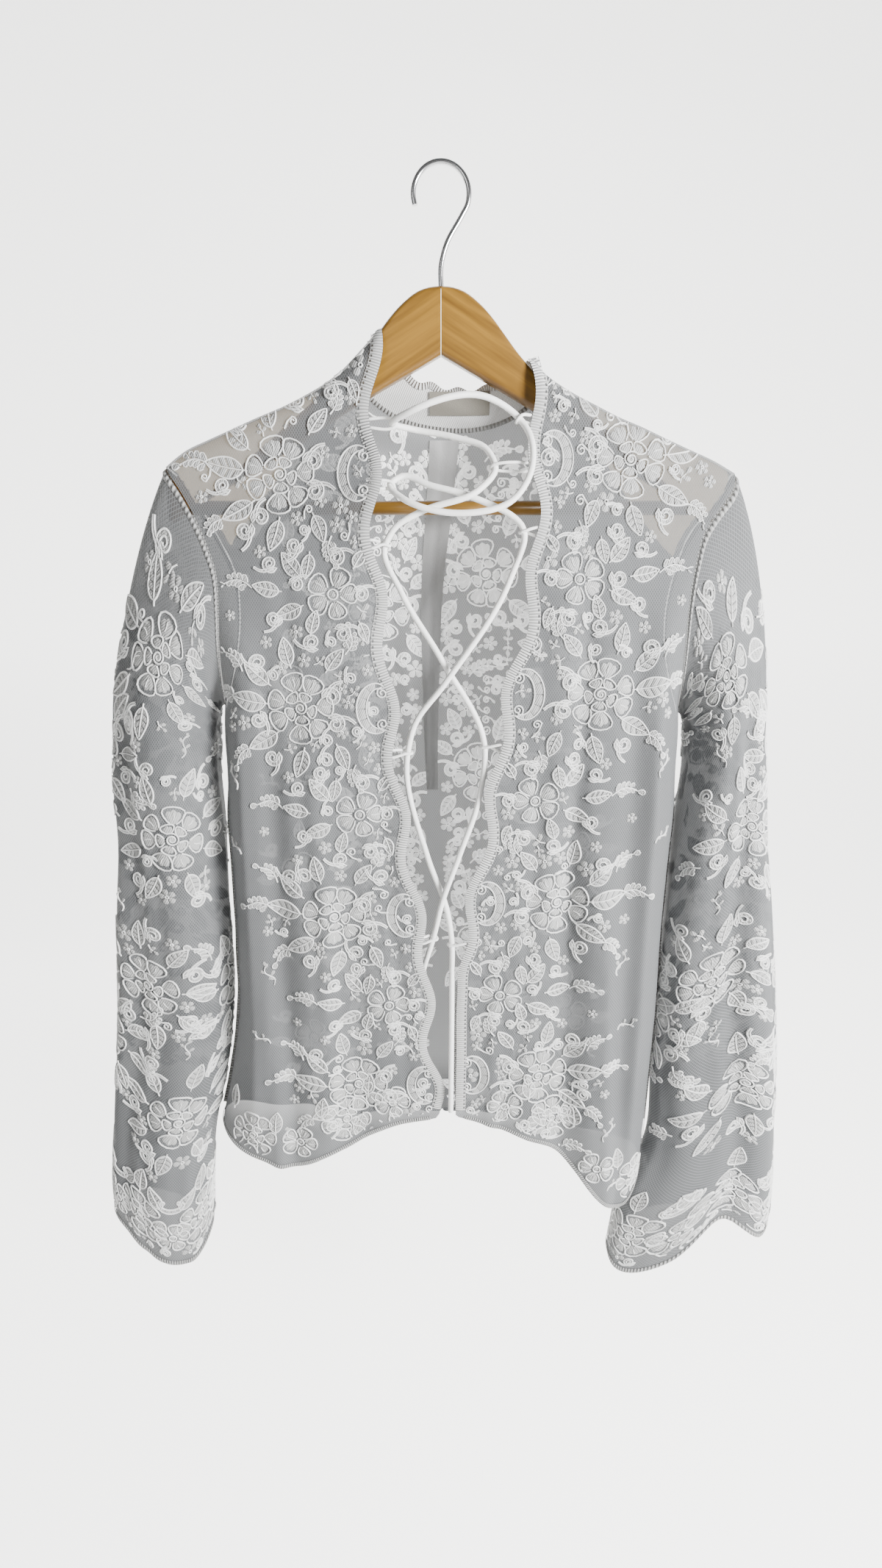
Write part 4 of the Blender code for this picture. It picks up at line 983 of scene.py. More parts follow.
def bud():
    """Two small leaves and a bud on a short stem."""
    drawing = Drawing()
    drawing.thread(np.array([[-5.0, -1.0], [-2.0, 0.4], [1.0, 0.0]]), 0.1, FINE_THREAD)
    for heading, start in ((0.0, 1.0), (62.0, -1.6), (-62.0, -1.6)):
        drawing.fill(turned_to(petal(5.0, 3.4, 7), (start, 0.0), heading), 0.0)
    return drawing


def tendril():
    """A thin thread that ends in a small curl."""
    drawing = Drawing()
    wound = spiral(3.2, 0.7, 1.3, 180.0, 14)
    drawing.thread(np.concatenate([[(5.0, 6.5), (0.0, 4.0)], wound]), 0.2, THREAD_WIDE)
    drawing.fill(turned_to(petal(4.4, 3.0, 7), (1.0, 4.6), 30.0), 0.0)
    return drawing


def scroll():
    """A C-shaped scroll, thick in its middle, with curled ends."""
    drawing = Drawing()
    turn = np.radians(np.linspace(66.0, 294.0, 25))
    middle = np.stack([9.0 + 11.0 * np.cos(turn), 16.0 * np.sin(turn)], axis=1)
    band(drawing, middle, 1.1 + 2.3 * np.sin(np.linspace(0.0, math.pi, 25)))
    for half in (-1, 1):
        wound = spiral(4.8, 0.8, 1.6, 60.0, 20) * (1, half)
        drawing.fill(np.array([12.8, half * 11.0]) + arc(3.0, 0, 330, 10), 0.1)
        drawing.thread(wound + (12.8, half * 11.0), 0.4)
    return drawing


DRAWINGS = {
    drawn.__name__: drawn
    for drawn in (rose, flower, blossom, leaf, spray, sprig, scroll, curl, bud, tendril)
}


class Embroidery:
    """Gathers the motifs of one panel as points, lifts and faces, then lays them on it in one mesh."""

    def __init__(self, panel, margin, outward=1.0):
        self.panel = panel
        self.margin = margin
        self.outward = outward
        self.flat = []
        self.lifts = []
        self.faces = []
        self.kinds = []
        self.count = 0

    def add_points(self, flat, lifts):
        first = self.count
        self.flat.append(flat)
        self.lifts.append(lifts)
        self.count += len(flat)
        return first

    def add_fill(self, points, layer):
        if not self.panel.inside(points[:, 0], points[:, 1], self.margin).all():
            return
        number = len(points)
        centre = points.mean(axis=0)
        waist = centre + (points - centre) * 0.62
        low = 0.15 + 0.3 * layer
        lifts = np.repeat([low, low + FILL_PUFF, low + FILL_PUFF * 0.8], [number, number, 1])
        first = self.add_points(np.concatenate([points, waist, centre[None]]), lifts)
        raised = first + number
        for place in range(number):
            beside = (place + 1) % number
            self.faces.append((first + place, first + beside, raised + beside, raised + place))
            self.faces.append((raised + place, raised + beside, raised + number))
            self.kinds += [0, 0]

    def add_thread(self, points, layer, width):
        kept = self.panel.inside(points[:, 0], points[:, 1], self.margin * 0.8)
        if kept.sum() < 2:
            return
        along = unit(np.gradient(points, axis=0))
        beside = np.stack([-along[:, 1], along[:, 0]], axis=1) * width / 2
        low = 0.2 + 0.3 * layer
        rows = [points + beside, points + beside * 0.55, points - beside * 0.55, points - beside]
        heights = (low - 0.2, low + CORD_LIFT + 0.35, low + CORD_LIFT + 0.35, low - 0.2)
        number = len(points)
        first = self.add_points(np.concatenate(rows), np.repeat(heights, number))
        for row in range(3):
            for place in range(number - 1):
                if kept[place] and kept[place + 1]:
                    corner = first + row * number + place
                    self.faces.append((corner, corner + 1, corner + number + 1, corner + number))
                    self.kinds.append(1)

    def add_all(self, motifs):
        for motif in motifs:
            self.add(motif)

    def add(self, motif):
        """Draws a motif at its place on the panel."""
        drawing = DRAWINGS[motif.kind]()
        centre_u, centre_v, mirror = self.panel.turned(motif)
        angle = math.radians(motif.turn)
        size = motif.size

        def laid(points):
            first = size * (points[:, 0] * math.cos(angle) - points[:, 1] * math.sin(angle))
            second = size * (points[:, 0] * math.sin(angle) + points[:, 1] * math.cos(angle))
            return np.stack([centre_u + mirror * first, centre_v - second], axis=1)

        for points, layer in drawing.fills:
            self.add_fill(laid(points), layer)
        for points, layer, width in drawing.threads:
            self.add_thread(laid(points), layer, width)

    def add_where_free(self, motifs):
        """Adds the small motifs of a list, each only where the lace still shows bare net."""
        taken = np.concatenate(self.flat)
        centres = np.zeros((0, 3))
        for motif in motifs:
            centre = np.array(self.panel.turned(motif)[:2])
            clear = FILLER_CLEAR[motif.kind] * motif.size
            if np.linalg.norm(taken - centre, axis=1).min() < clear:
                continue
            if (np.linalg.norm(centres[:, :2] - centre, axis=1) < clear + centres[:, 2]).any():
                continue
            self.add(motif)
            centres = np.concatenate([centres, [(*centre, clear)]])

    def finished(self, name, fills, threads):
        flat = np.concatenate(self.flat)
        lifts = np.concatenate(self.lifts) * self.outward
        places = self.panel.places(flat[:, 0], flat[:, 1], lifts)
        mesh = bpy.data.meshes.new(name)
        mesh.from_pydata((places * MM).tolist(), [], self.faces)
        mesh.polygons.foreach_set("material_index", self.kinds)
        coordinates = mesh.uv_layers.new(name="Flat")
        corners = np.empty(len(mesh.loops), np.int32)
        mesh.loops.foreach_get("vertex_index", corners)
        coordinates.data.foreach_set("uv", (flat[corners] * MM).ravel())
        for material in (fills, threads):
            mesh.materials.append(look_named(material))
        mesh.shade_smooth()
        return linked(name, mesh)


def from_shape(name, shape, material):
    """A smooth piece of one material from a finished shape."""
    mesh = bpy.data.meshes.new(name)
    shape.to_mesh(mesh)
    shape.free()
    mesh.shade_smooth()
    mesh.materials.append(material)
    return linked(name, mesh)


def linked(name, data):
    piece = bpy.data.objects.new(name.replace(" ", "_").lower(), data)
    bpy.context.scene.collection.objects.link(piece)
    return piece


def laid_grid(name, places, flat, material, closed=False):
    """A Blender grid moved onto places in rows and columns, with flat coordinates in metres as its UVs."""
    rows, columns = places.shape[:2]
    if closed:
        places = np.concatenate([places, places[:, :1]], axis=1)
        columns += 1
    shape = bmesh.new()
    layer = shape.loops.layers.uv.new("Flat")
    bmesh.ops.create_grid(shape, x_segments=columns - 1, y_segments=rows - 1, size=1.0)
    numbers = {}
    for vertex in shape.verts:
        column = round((vertex.co.x + 1) / 2 * (columns - 1))
        row = round((1 - vertex.co.y) / 2 * (rows - 1))
        numbers[vertex] = (row, column)
    for vertex, (row, column) in numbers.items():
        vertex.co = places[row, column] * MM
    for face in shape.faces:
        for corner in face.loops:
            corner[layer].uv = flat[numbers[corner.vert]] * MM
    if closed:
        bmesh.ops.remove_doubles(shape, verts=shape.verts, dist=1e-6)
    return from_shape(name, shape, material)


def flat_parts(grid):
    return grid[..., 0], grid[..., 1]


def flat_area(grid):
    """The area of a flat grid, in square metres."""
    first = grid[1:, 1:] - grid[:-1, :-1]
    second = grid[1:, :-1] - grid[:-1, 1:]
    crossed = first[..., 0] * second[..., 1] - first[..., 1] * second[..., 0]
    return float(np.abs(crossed).sum() / 2) * MM * MM


def ribbon(name, place, edge, inward, width, material, lift=0.5, arch=0.5):
    """A narrow band along an edge: place gives its places from flat points and lifts."""
    share = np.linspace(0.0, 1.0, RIBBON_ROWS)
    flat = edge[None] + share[:, None, None] * width * inward[None]
    lifts = lift + arch * np.sin(math.pi * share)[:, None] * np.ones(len(edge))[None]
    places = place(flat[..., 0], flat[..., 1], lifts)
    coordinates = flat_places(reach_along(edge)[None], share[:, None] * width)
    return laid_grid(name, places, coordinates, look_named(material))


def inward_of(edge, towards):
    """Unit directions at right angles to an edge, on the side that points towards a direction."""
    along = unit(np.gradient(edge, axis=0))
    across = np.stack([-along[:, 1], along[:, 0]], axis=1)
    signs = np.sign((across * np.asarray(towards, float)).sum(axis=1, keepdims=True) + 1e-9)
    return across * signs


class Sum:
    """A socket with arithmetic, so that shader maths reads as a formula."""

    def __init__(self, tree, socket):
        self.tree = tree
        self.socket = socket

    def maths(self, operation, *others, clamp=False):
        node = self.tree.nodes.new("ShaderNodeMath")
        node.operation = operation
        node.use_clamp = clamp
        self.tree.links.new(self.socket, node.inputs[0])
        for number, other in enumerate(others):
            if isinstance(other, Sum):
                self.tree.links.new(other.socket, node.inputs[number + 1])
            else:
                node.inputs[number + 1].default_value = other
        return Sum(self.tree, node.outputs[0])

    def __add__(self, other):
        return self.maths("ADD", other)

    def __sub__(self, other):
        return self.maths("SUBTRACT", other)

    def __mul__(self, other):
        return self.maths("MULTIPLY", other)

    def __truediv__(self, other):
        return self.maths("DIVIDE", other)

    def __rsub__(self, other):
        return self.maths("MULTIPLY", -1.0).maths("ADD", other)

    def __rtruediv__(self, other):
        return self.maths("POWER", -1.0).maths("MULTIPLY", other)

    __radd__ = __add__
    __rmul__ = __mul__


class Look:
    """A material with one Principled shader. link() joins a socket to one of its inputs."""

    def __init__(self, name, colour, roughness, metallic=0.0, sheen=0.0):
        self.material = bpy.data.materials.new(name)
        self.material.use_nodes = True
        self.tree = self.material.node_tree
        self.shader = self.tree.nodes["Principled BSDF"]
        self.shader.inputs["Base Color"].default_value = (*colour, 1.0)
        self.shader.inputs["Roughness"].default_value = roughness
        self.shader.inputs["Metallic"].default_value = metallic
        self.shader.inputs["Sheen Weight"].default_value = sheen

    def node(self, kind, values=None, links=None, **settings):
        node = self.tree.nodes.new(kind)
        for name, value in settings.items():
            setattr(node, name, value)
        for name, value in (values or {}).items():
            node.inputs[name].default_value = value
        for name, value in (links or {}).items():
            self.tree.links.new(value.socket if isinstance(value, Sum) else value, node.inputs[name])
        return node

    def link(self, value, name):
        self.tree.links.new(value.socket if isinstance(value, Sum) else value, self.shader.inputs[name])

    def flat(self):
        """The flat coordinates of the cloth, in metres, as two sums."""
        source = self.node("ShaderNodeUVMap", uv_map="Flat")
        parts = self.node("ShaderNodeSeparateXYZ", links={"Vector": source.outputs["UV"]})
        return Sum(self.tree, parts.outputs["X"]), Sum(self.tree, parts.outputs["Y"])

    def object_place(self):
        return self.node("ShaderNodeTexCoord").outputs["Object"]

    def object_part(self, axis):
        """One coordinate of the places on a piece, in metres."""
        parts = self.node("ShaderNodeSeparateXYZ", links={"Vector": self.object_place()})
        return Sum(self.tree, parts.outputs[axis])

    def noise(self, vector, scale, detail=2.0):
        values = {"Scale": scale, "Detail": detail}
        node = self.node("ShaderNodeTexNoise", values=values, links={"Vector": vector})
        return Sum(self.tree, node.outputs["Fac"])

    def bump(self, height, strength, distance):
        values = {"Strength": strength, "Distance": distance}
        node = self.node("ShaderNodeBump", values=values, links={"Height": height})
        self.link(node.outputs["Normal"], "Normal")

    def glow(self, colour, strength):
        """Painted light: the cloth emits its own colour, standing in for light that comes through thin cloth
        from behind it.
        """
        self.shader.inputs["Emission Color"].default_value = (*colour, 1.0)
        self.shader.inputs["Emission Strength"].default_value = strength
        self.material.cycles.emission_sampling = "NONE"

    def between(self, share, first, second):
        """A colour between two, by a share."""
        node = self.node("ShaderNodeMix", data_type="RGBA")
        node.inputs[6].default_value = (*first, 1.0)
        node.inputs[7].default_value = (*second, 1.0)
        self.tree.links.new(share.socket, node.inputs[0])
        return node.outputs[2]


def tulle(name, colour, more_cover):
    """Net: threads along two slanted directions round open cells, all in painted shade: the white net is dark
    grey, and its open cells hold a darker, mostly opaque film of painted shade.
    """
    settings = bpy.context.scene.lace_shirt
    cell = settings.net_cell * MM
    cover = settings.net_cover + more_cover
    look = Look(name, colour, 0.8)
    across, down = look.flat()
    lines = []
    for slant in (0.62, -0.62):
        place = (across + down * slant) / cell
        lines.append((place.maths("FRACT") - 0.5).maths("ABSOLUTE"))
    nearest = lines[0].maths("MAXIMUM", lines[1])
    thread = ((nearest - 0.34) * 9.0).maths("ADD", 0.0, clamp=True)
    lowest = ((DENSE_NET_FROM - look.object_part("Z")) / DENSE_NET_OVER).maths("ADD", 0.0, clamp=True)
    least = lowest * (DENSE_NET_COVER - cover) + cover
    # Painted shade: the open cells get a darker grey than the threads, and both stand for the white net seen
    # in shade.
    painted_shade_in_cells = tuple(0.7 * value for value in colour)
    painted_shade_on_threads = tuple(1.45 * value for value in colour)
    look.link(look.between(thread, painted_shade_in_cells, painted_shade_on_threads), "Base Color")
    look.link(least + (1.0 - least) * thread, "Alpha")
    return look.material


def clothwork(name, colour, painted_shade, glow=0.0):
    """The filled shapes of the lace: close threads with small darker places between them, painted shade
    between the threads.
    """
    look = Look(name, colour, 0.72)
    across, down = look.flat()
    rows = ((across + down * 0.5) * 4200.0).maths("SINE")
    columns = ((down - across * 0.5) * 4200.0).maths("SINE")
    # Painted shade: the colour darkens between the threads.
    share = ((rows * columns + 0.25) * 2.0).maths("ADD", 0.3, clamp=True)
    look.link(look.between(share, painted_shade, colour), "Base Color")
    look.bump(rows, 0.4, 0.0004)
    look.glow(colour, glow)
    return look.material


def threadwork(name, colour, glow=0.0):
    """The raised outline thread of the lace."""
    look = Look(name, colour, 0.55, sheen=0.2)
    across, down = look.flat()
    look.bump(((across - down) * 7000.0).maths("SINE"), 0.35, 0.0002)
    look.glow(colour, glow)
    return look.material


def ribbed(name, colour, painted_shade, rib, holes=True):
    """The ribbed border: ribs across the band, with painted shade in the troughs between them, and a row of
    small holes along its inner side.
    """
    look = Look(name, colour, 0.65, sheen=0.2)
    along, across = look.flat()
    wave = (along * (2 * math.pi / rib)).maths("SINE")
    # Painted shade: the troughs between the ribs are darkened.
    share = (wave * 0.5 + 0.5).maths("POWER", 0.6)
    look.link(look.between(share, painted_shade, colour), "Base Color")
    look.bump(wave, 0.9, 0.0006)
    if holes:
        row = ((across - 0.0068).maths("ABSOLUTE") / 0.0007).maths("LESS_THAN", 1.0)
        gaps = (along * (2 * math.pi / (2 * rib))).maths("SINE").maths("GREATER_THAN", 0.1)
        look.link((row * gaps).maths("MULTIPLY", -0.85) + 1.0, "Alpha")
    return look.material


def plain_cloth(name, colour, scale, strength, roughness=0.85, glow=0.0):
    look = Look(name, colour, roughness, sheen=0.3)
    look.bump(look.noise(look.object_place(), scale), strength, 0.0006)
    look.glow(colour, glow)
    return look.material


def varnished_wood(name):
    """Straight-grained pale wood under clear varnish."""
    look = Look(name, (0.52, 0.30, 0.12), 0.35)
    along, across = look.flat()
    stretched = look.node("ShaderNodeCombineXYZ", links={"X": along * 14.0, "Y": across * 260.0})
    grain = look.noise(stretched.outputs["Vector"], 1.0, 4.0)
    wide = look.node("ShaderNodeCombineXYZ", links={"X": along * 5.0, "Y": across * 50.0})
    bands = look.noise(wide.outputs["Vector"], 1.0, 2.0)
    share = ((grain * 0.8 + bands * 0.6 - 0.46) * 2.6).maths("ADD", 0.0, clamp=True)
    look.link(look.between(share, (0.10, 0.045, 0.005), (0.25, 0.128, 0.017)), "Base Color")
    look.bump(grain, 0.08, 0.0004)
    look.shader.inputs["Coat Weight"].default_value = 0.3
    look.shader.inputs["Coat Roughness"].default_value = 0.18
    return look.material


def side_name(side):
    return "left" if side == LEFT else "right"


# The maker of each shared material and its values: colours first, then what the maker asks for
LOOKS = {
    # Painted shade: the white net is given dark greys, one for the fronts and sleeves and one for the back.
    "Front net": (tulle, (0.115, 0.119, 0.123), 0.0),
    "Back net": (tulle, (0.13, 0.134, 0.14), 0.1),
    # The darker second colour of each clothwork is painted shade between its threads.
    "Front clothwork": (clothwork, (0.43, 0.43, 0.425), (0.28, 0.28, 0.275)),
    # Painted light: a brighter, glowing copy of the front clothwork, for the inner back motifs.
    "Back clothwork": (clothwork, (0.90, 0.90, 0.89), (0.70, 0.70, 0.69), 0.6),
    # Painted light: the neck band glows a little.
    "Band clothwork": (clothwork, (0.66, 0.66, 0.65), (0.40, 0.40, 0.395), 0.12),
    "Raised thread": (threadwork, (0.72, 0.72, 0.71)),
    # Painted light: a brighter, glowing copy of the raised thread, for the inner back motifs.
    "Back thread": (threadwork, (0.92, 0.92, 0.91), 0.9),
    # The darker second colours of the ribbed pieces are painted shade in their rib troughs.
    "Ribbed border": (ribbed, (0.70, 0.70, 0.69), (0.34, 0.34, 0.335), 0.0018),
    "Hem picot": (ribbed, (0.36, 0.36, 0.355), (0.20, 0.20, 0.195), 0.0018, False),
    "Seam allowance": (ribbed, (0.34, 0.34, 0.335), (0.22, 0.22, 0.215), 0.0026, False),
    # Painted light: the pads glow strongly, to look lit through the net.
    "Pad cloth": (plain_cloth, (0.92, 0.78, 0.58), 900.0, 0.4, 0.85, 2.4),
    "Back seam cloth": (plain_cloth, (0.40, 0.40, 0.40), 900.0, 0.4),
    "Label cloth": (plain_cloth, (0.16, 0.15, 0.125), 1500.0, 0.5),
    "Rouleau": (plain_cloth, (0.90, 0.90, 0.88), 260.0, 0.5, 0.5),
    "Loop thread": (plain_cloth, (0.88, 0.88, 0.86), 1400.0, 0.6, 0.6),
    "Varnished wood": (varnished_wood,),
}


def look_named(name):
    """A material made once and shared by its pieces."""
    found = bpy.data.materials.get(name)
    if found:
        return found
    maker, *values = LOOKS[name]
    return maker(name, *values)


def wear(slot, *pieces):
    """Lets new pieces move with the garment. The slot is not used."""
    for piece in pieces:
        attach(piece, "root")


def declare_sheet(grid):
    """Works out the size and area of a panel's flat cut from its flat grid, but keeps none of them."""
    low = grid.reshape(-1, 2).min(axis=0)
    high = grid.reshape(-1, 2).max(axis=0)
    width, length = (float(value) * MM for value in high - low)
    flat_area(grid)


def motifs_along(rows, repeat):
    return [row._replace(v=row.v + drop) for drop in rows for row in repeat]


def hem_motifs(side, first, last):
    """Flowers, leaves and roses in turn above the scalloped hem. u is measured from the straight front edge.
    """
    found = []
    for number, u in enumerate(np.arange(first, last, HEM_REPEAT / 2)):
        x = float(straight_opening_x(side, 690.0)) + side * u
        drop = float(column_at(FRONT_HEM[side], "drop", "x", x))
        kind = ("flower", "leaf", "rose", "leaf")[number % 4]
        turn, above = (90.0, 14.0) if kind == "leaf" else (20.0, 0.0)
        found.append(Motif(kind, u + 6.0, drop - (HEM_MOTIF_INSET + above), turn, 0.85))
    return found


def small_motifs(places):
    """Small blossoms, buds and leaves in turn, one at each place."""
    motifs = []
    for number, (u, v) in enumerate(places):
        kind = ("blossom", "curl", "blossom", "bud", "tendril", "curl", "bud")[number % 7]
        size = (0.75 if kind == "curl" else 1.05) + 0.2 * math.sin(1.9 * number)
        motifs.append(Motif(kind, u, v, 77.0 * number % 360.0, size))
    return motifs


def front_fillers(side):
    """Places near the front edge, and further from it beside each rose."""
    places = []
    for row, drop in enumerate(np.arange(24.0, 690.0, FILLER_STEP)):
        roses = np.exp(-(((np.array(ROSE_DROPS[side]) - drop) / 30.0) ** 2)).max()
        for step, u in enumerate(np.arange(13.0, 58.0 + 62.0 * roses, FILLER_STEP)):
            shift = 3.0 * math.sin(5.1 * row + 2.3 * step)
            places.append((u + shift, drop + 3.0 * math.sin(3.7 * step + 1.3 * row)))
    return small_motifs(places)


def edge_of_front(side):
    """The scalloped edge of a front: down the opening, then along the hem."""
    drops = np.linspace(float(crest_drop(NECK_POINT_X[side])) + 1.0, EDGING[side].hem_drop - 5.0, 260)
    down = np.stack([opening_x(side, drops), drops], axis=1)
    corner = float(opening_x(side, EDGING[side].hem_drop))
    last_x = float(flat_outer_x(side, FRONT_HEM[side][-1].drop))
    xs = np.linspace(corner + side * 7.0, last_x - side * 1.0, 110)
    return down, np.stack([xs, hem_line(FRONT_HEM[side], xs)], axis=1)


def make_front(side):
    name = side_name(side)
    panel = BodyPanel(side, FRONT)
    grid = front_grid(side)
    net = laid_grid(f"Front {name}", panel.places(*flat_parts(grid)), grid, look_named("Front net"))
    work = Embroidery(panel, MOTIF_MARGIN)
    work.add_all(motifs_along(ROSE_DROPS[side], FRONT_REPEAT))
    work.add_all(hem_motifs(side, 34.0, 190.0))
    work.add_where_free(front_fillers(side))
    motifs = work.finished(f"Front motifs {name}", "Front clothwork", "Raised thread")
    down, hem = edge_of_front(side)
    inward = inward_of(down, (side, 0.0))
    border = ribbon(f"Front border {name}", panel.places, down, inward, BORDER_WIDTH, "Ribbed border")
    inward = inward_of(hem, (0.0, -1.0))
    hem_border = ribbon(f"Hem border {name}", panel.places, hem, inward, PICOT_WIDTH, "Hem picot")
    pieces = [motifs, border, hem_border]
    if side == RIGHT:
        pieces.append(make_turned_edge(panel))
    wear("lace", net, *pieces)
    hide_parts(f"front_{name}")
    declare_sheet(grid)


def make_turned_edge(panel):
    """The lower scallops of the right front, turned under: one peeps out beside the straight edge."""
    drops = np.linspace(560.0, 668.0, 60)
    peep = TURNED_PEEP * np.exp(-(((drops - 604.0) / 30.0) ** 2))
    peep = peep + 1.2 * np.exp(-(((drops - 652.0) / 14.0) ** 2))
    edge = np.stack([opening_x(RIGHT, drops) - peep, drops], axis=1)
    inward = inward_of(edge, (1.0, 0.0))
    return ribbon("Turned edge right", panel.places, edge, inward, TURNED_WIDTH, "Ribbed border", -1.6, -0.4)


def make_back(side):
    """A back with its motifs on both faces: the inner ones show through the opening, and are brightened with
    painted light.
    """
    name = side_name(side)
    panel = BodyPanel(side, BACK)
    grid = back_grid(side)
    net = laid_grid(f"Back {name}", panel.places(*flat_parts(grid)), grid, look_named("Back net"))
    shift = 0.0 if side == LEFT else -26.0
    main_motifs = motifs_along([drop + shift for drop in BACK_ROSE_DROPS], BACK_REPEAT)
    drops = np.arange(170.0, 560.0, BACK_FILLER_STEP)
    places = [(u, v) for v in drops for u in np.arange(12.0, 62.0, BACK_FILLER_STEP)]
    inner = Embroidery(panel, MOTIF_MARGIN, -1.0)
    inner.add_all(main_motifs)
    inner.add_where_free(small_motifs(places))
    outer = Embroidery(panel, MOTIF_MARGIN)
    outer.add_all(main_motifs)
    motifs = [
        inner.finished(f"Back inner motifs {name}", "Back clothwork", "Back thread"),
        outer.finished(f"Back outer motifs {name}", "Front clothwork", "Raised thread"),
    ]
    xs = np.linspace(grid[-1, 0, 0] + side, grid[-1, -1, 0] - side, 110)
    hem = np.stack([xs, hem_line(BACK_HEM[side], xs)], axis=1)
    inward = inward_of(hem, (0.0, -1.0))
    border = ribbon(f"Back hem border {name}", panel.places, hem, inward, PICOT_WIDTH, "Hem picot")
    wear("lace", net, border, *motifs)
    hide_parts(f"back_{name}")
    declare_sheet(grid)


def make_neck_band():
    grid = band_grid()
    net = laid_grid("Neck band", back_surface(*flat_parts(grid)), grid, look_named("Band clothwork"))
    edge = grid[0, 1:-1]
    inward = inward_of(edge, (0.0, 1.0))
    rim = ribbon("Neck band rim", back_surface, edge, inward, NECK_RIM_WIDTH, "Ribbed border", -0.5, -0.4)
    seam = grid[-1, 1:-1]
    inward = inward_of(seam, (0.0, -1.0))
    width = NECK_SEAM_WIDTH
    join = ribbon("Neck band seam", back_surface, seam, inward, width, "Seam allowance", -0.5, -0.6)
    wear("lace", net, rim, join)
    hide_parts("back_neck_band")
    declare_sheet(grid)


def make_sleeve(side):
    name = side_name(side)
    panel = SleevePanel(side)
    around = np.arange(SLEEVE_SIDES + 1) * ROUND_ARM / SLEEVE_SIDES
    flat = flat_places(around[None], panel.down[:, None])
    net = laid_grid(f"Sleeve {name}", panel.grid, flat, look_named("Front net"), closed=True)
    work = Embroidery(panel, SLEEVE_MOTIF_MARGIN)
    for cluster in SLEEVE_CLUSTERS[side]:
        for row in SLEEVE_CLUSTER:
            spot = turned_to([(row.u, -row.v)], (0.0, 0.0), cluster.turn)[0]
            mirrored = cluster.u + side * spot[0]
            work.add(Motif(row.kind, mirrored, cluster.v - spot[1], row.turn + cluster.turn, row.size))
    places = []
    for cluster in SLEEVE_CLUSTERS[side]:
        for number in range(46):
            reach = 6.0 * math.sqrt(number + 1.0)
            turn = 2.399 * number
            across = 0.85 * reach * math.cos(turn)
            places.append((cluster.u + across, cluster.v + 1.15 * reach * math.sin(turn)))
    cuff_drop = panel.down[-1]
    for number in range(round(ROUND_ARM / CUFF_REPEAT)):
        u = number * CUFF_REPEAT
        work.add(Motif("rose", u, cuff_drop - 38.0, 15.0 * number, 0.85))
        work.add(Motif("flower", u + CUFF_REPEAT / 2, cuff_drop - 28.0, 10.0, 0.75))
        work.add(Motif("leaf", u + 17.0, cuff_drop - 56.0, 58.0, 0.85))
        work.add(Motif("leaf", u - 17.0, cuff_drop - 56.0, 122.0, 0.85))
        work.add(Motif("leaf", u, cuff_drop - 64.0, 90.0, 0.9))
        work.add(Motif("scroll", u + CUFF_REPEAT / 2, cuff_drop - 56.0, 90.0, 0.55))
        for row in range(5):
            places += [(u + 9.0 * step, cuff_drop - 12.0 - 11.0 * row) for step in range(8)]
    work.add_where_free(small_motifs(places))
    motifs = work.finished(f"Sleeve motifs {name}", "Front clothwork", "Raised thread")
    around = np.linspace(0.0, ROUND_ARM, 240)
    edge = flat_places(around, cuff_drop - 0.5)
    upwards = np.tile((0.0, -1.0), (len(around), 1))
    border = ribbon(f"Cuff border {name}", panel.places, edge, upwards, CUFF_PICOT_WIDTH, "Hem picot")
    head = flat_places(around, 0.3)
    allowance = ribbon(
        f"Armhole allowance {name}",
        panel.places,
        head,
        -upwards,
        ARMHOLE_ALLOWANCE_WIDTH,
        "Seam allowance",
        0.2,
        0.8,
    )
    wear("lace", net, motifs, border, allowance)
    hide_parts(f"sleeve_{name}")
    spread = np.linalg.norm(np.roll(panel.grid, -1, axis=1) - panel.grid, axis=2).sum(axis=1)


def make_side_seams():
    """The narrow raised allowances of the side seams, and the one of the centre back."""
    for side in (LEFT, RIGHT):
        drops = np.linspace(UNDERARM_DROP[side] + 4.0, FRONT_HEM[side][-1].drop - 10.0, 150)
        seam = body_surface(side, FRONT, flat_outer_x(side, drops), drops)
        share = np.linspace(0.0, 1.0, 5)[:, None]
        grown = SEAM_FIN * share * eased(drops) + 0.6 * share
        ripple = 0.5 * share * np.sin(drops / 9.0) * (1.0 + np.sin(drops / 41.0))
        places = seam[None] + np.stack([side * grown, ripple, 0.0 * grown], axis=-1)
        flat = flat_places(drops[None], grown)
        piece = laid_grid(f"Side seam {side_name(side)}", places, flat, look_named("Seam allowance"))
        wear("lace", piece)
    drops = np.linspace(158.0, 420.0, 90)
    width = np.interp(drops, (158, 230, 420), (21.0, 18.0, 9.0))
    share = np.linspace(-0.5, 0.5, 9)
    flat = flat_places(centre_back_x(drops)[:, None] + width[:, None] * share[None], drops[:, None])
    ripple = 0.35 * np.cos(4 * math.pi * share)[None] * np.ones(len(drops))[:, None]
    places = back_surface(*flat_parts(flat), -1.4 + ripple)
    piece = laid_grid("Centre back allowance", places, flat, look_named("Back seam cloth"))
    wear("lace", piece)
    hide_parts("back_seam_allowance")


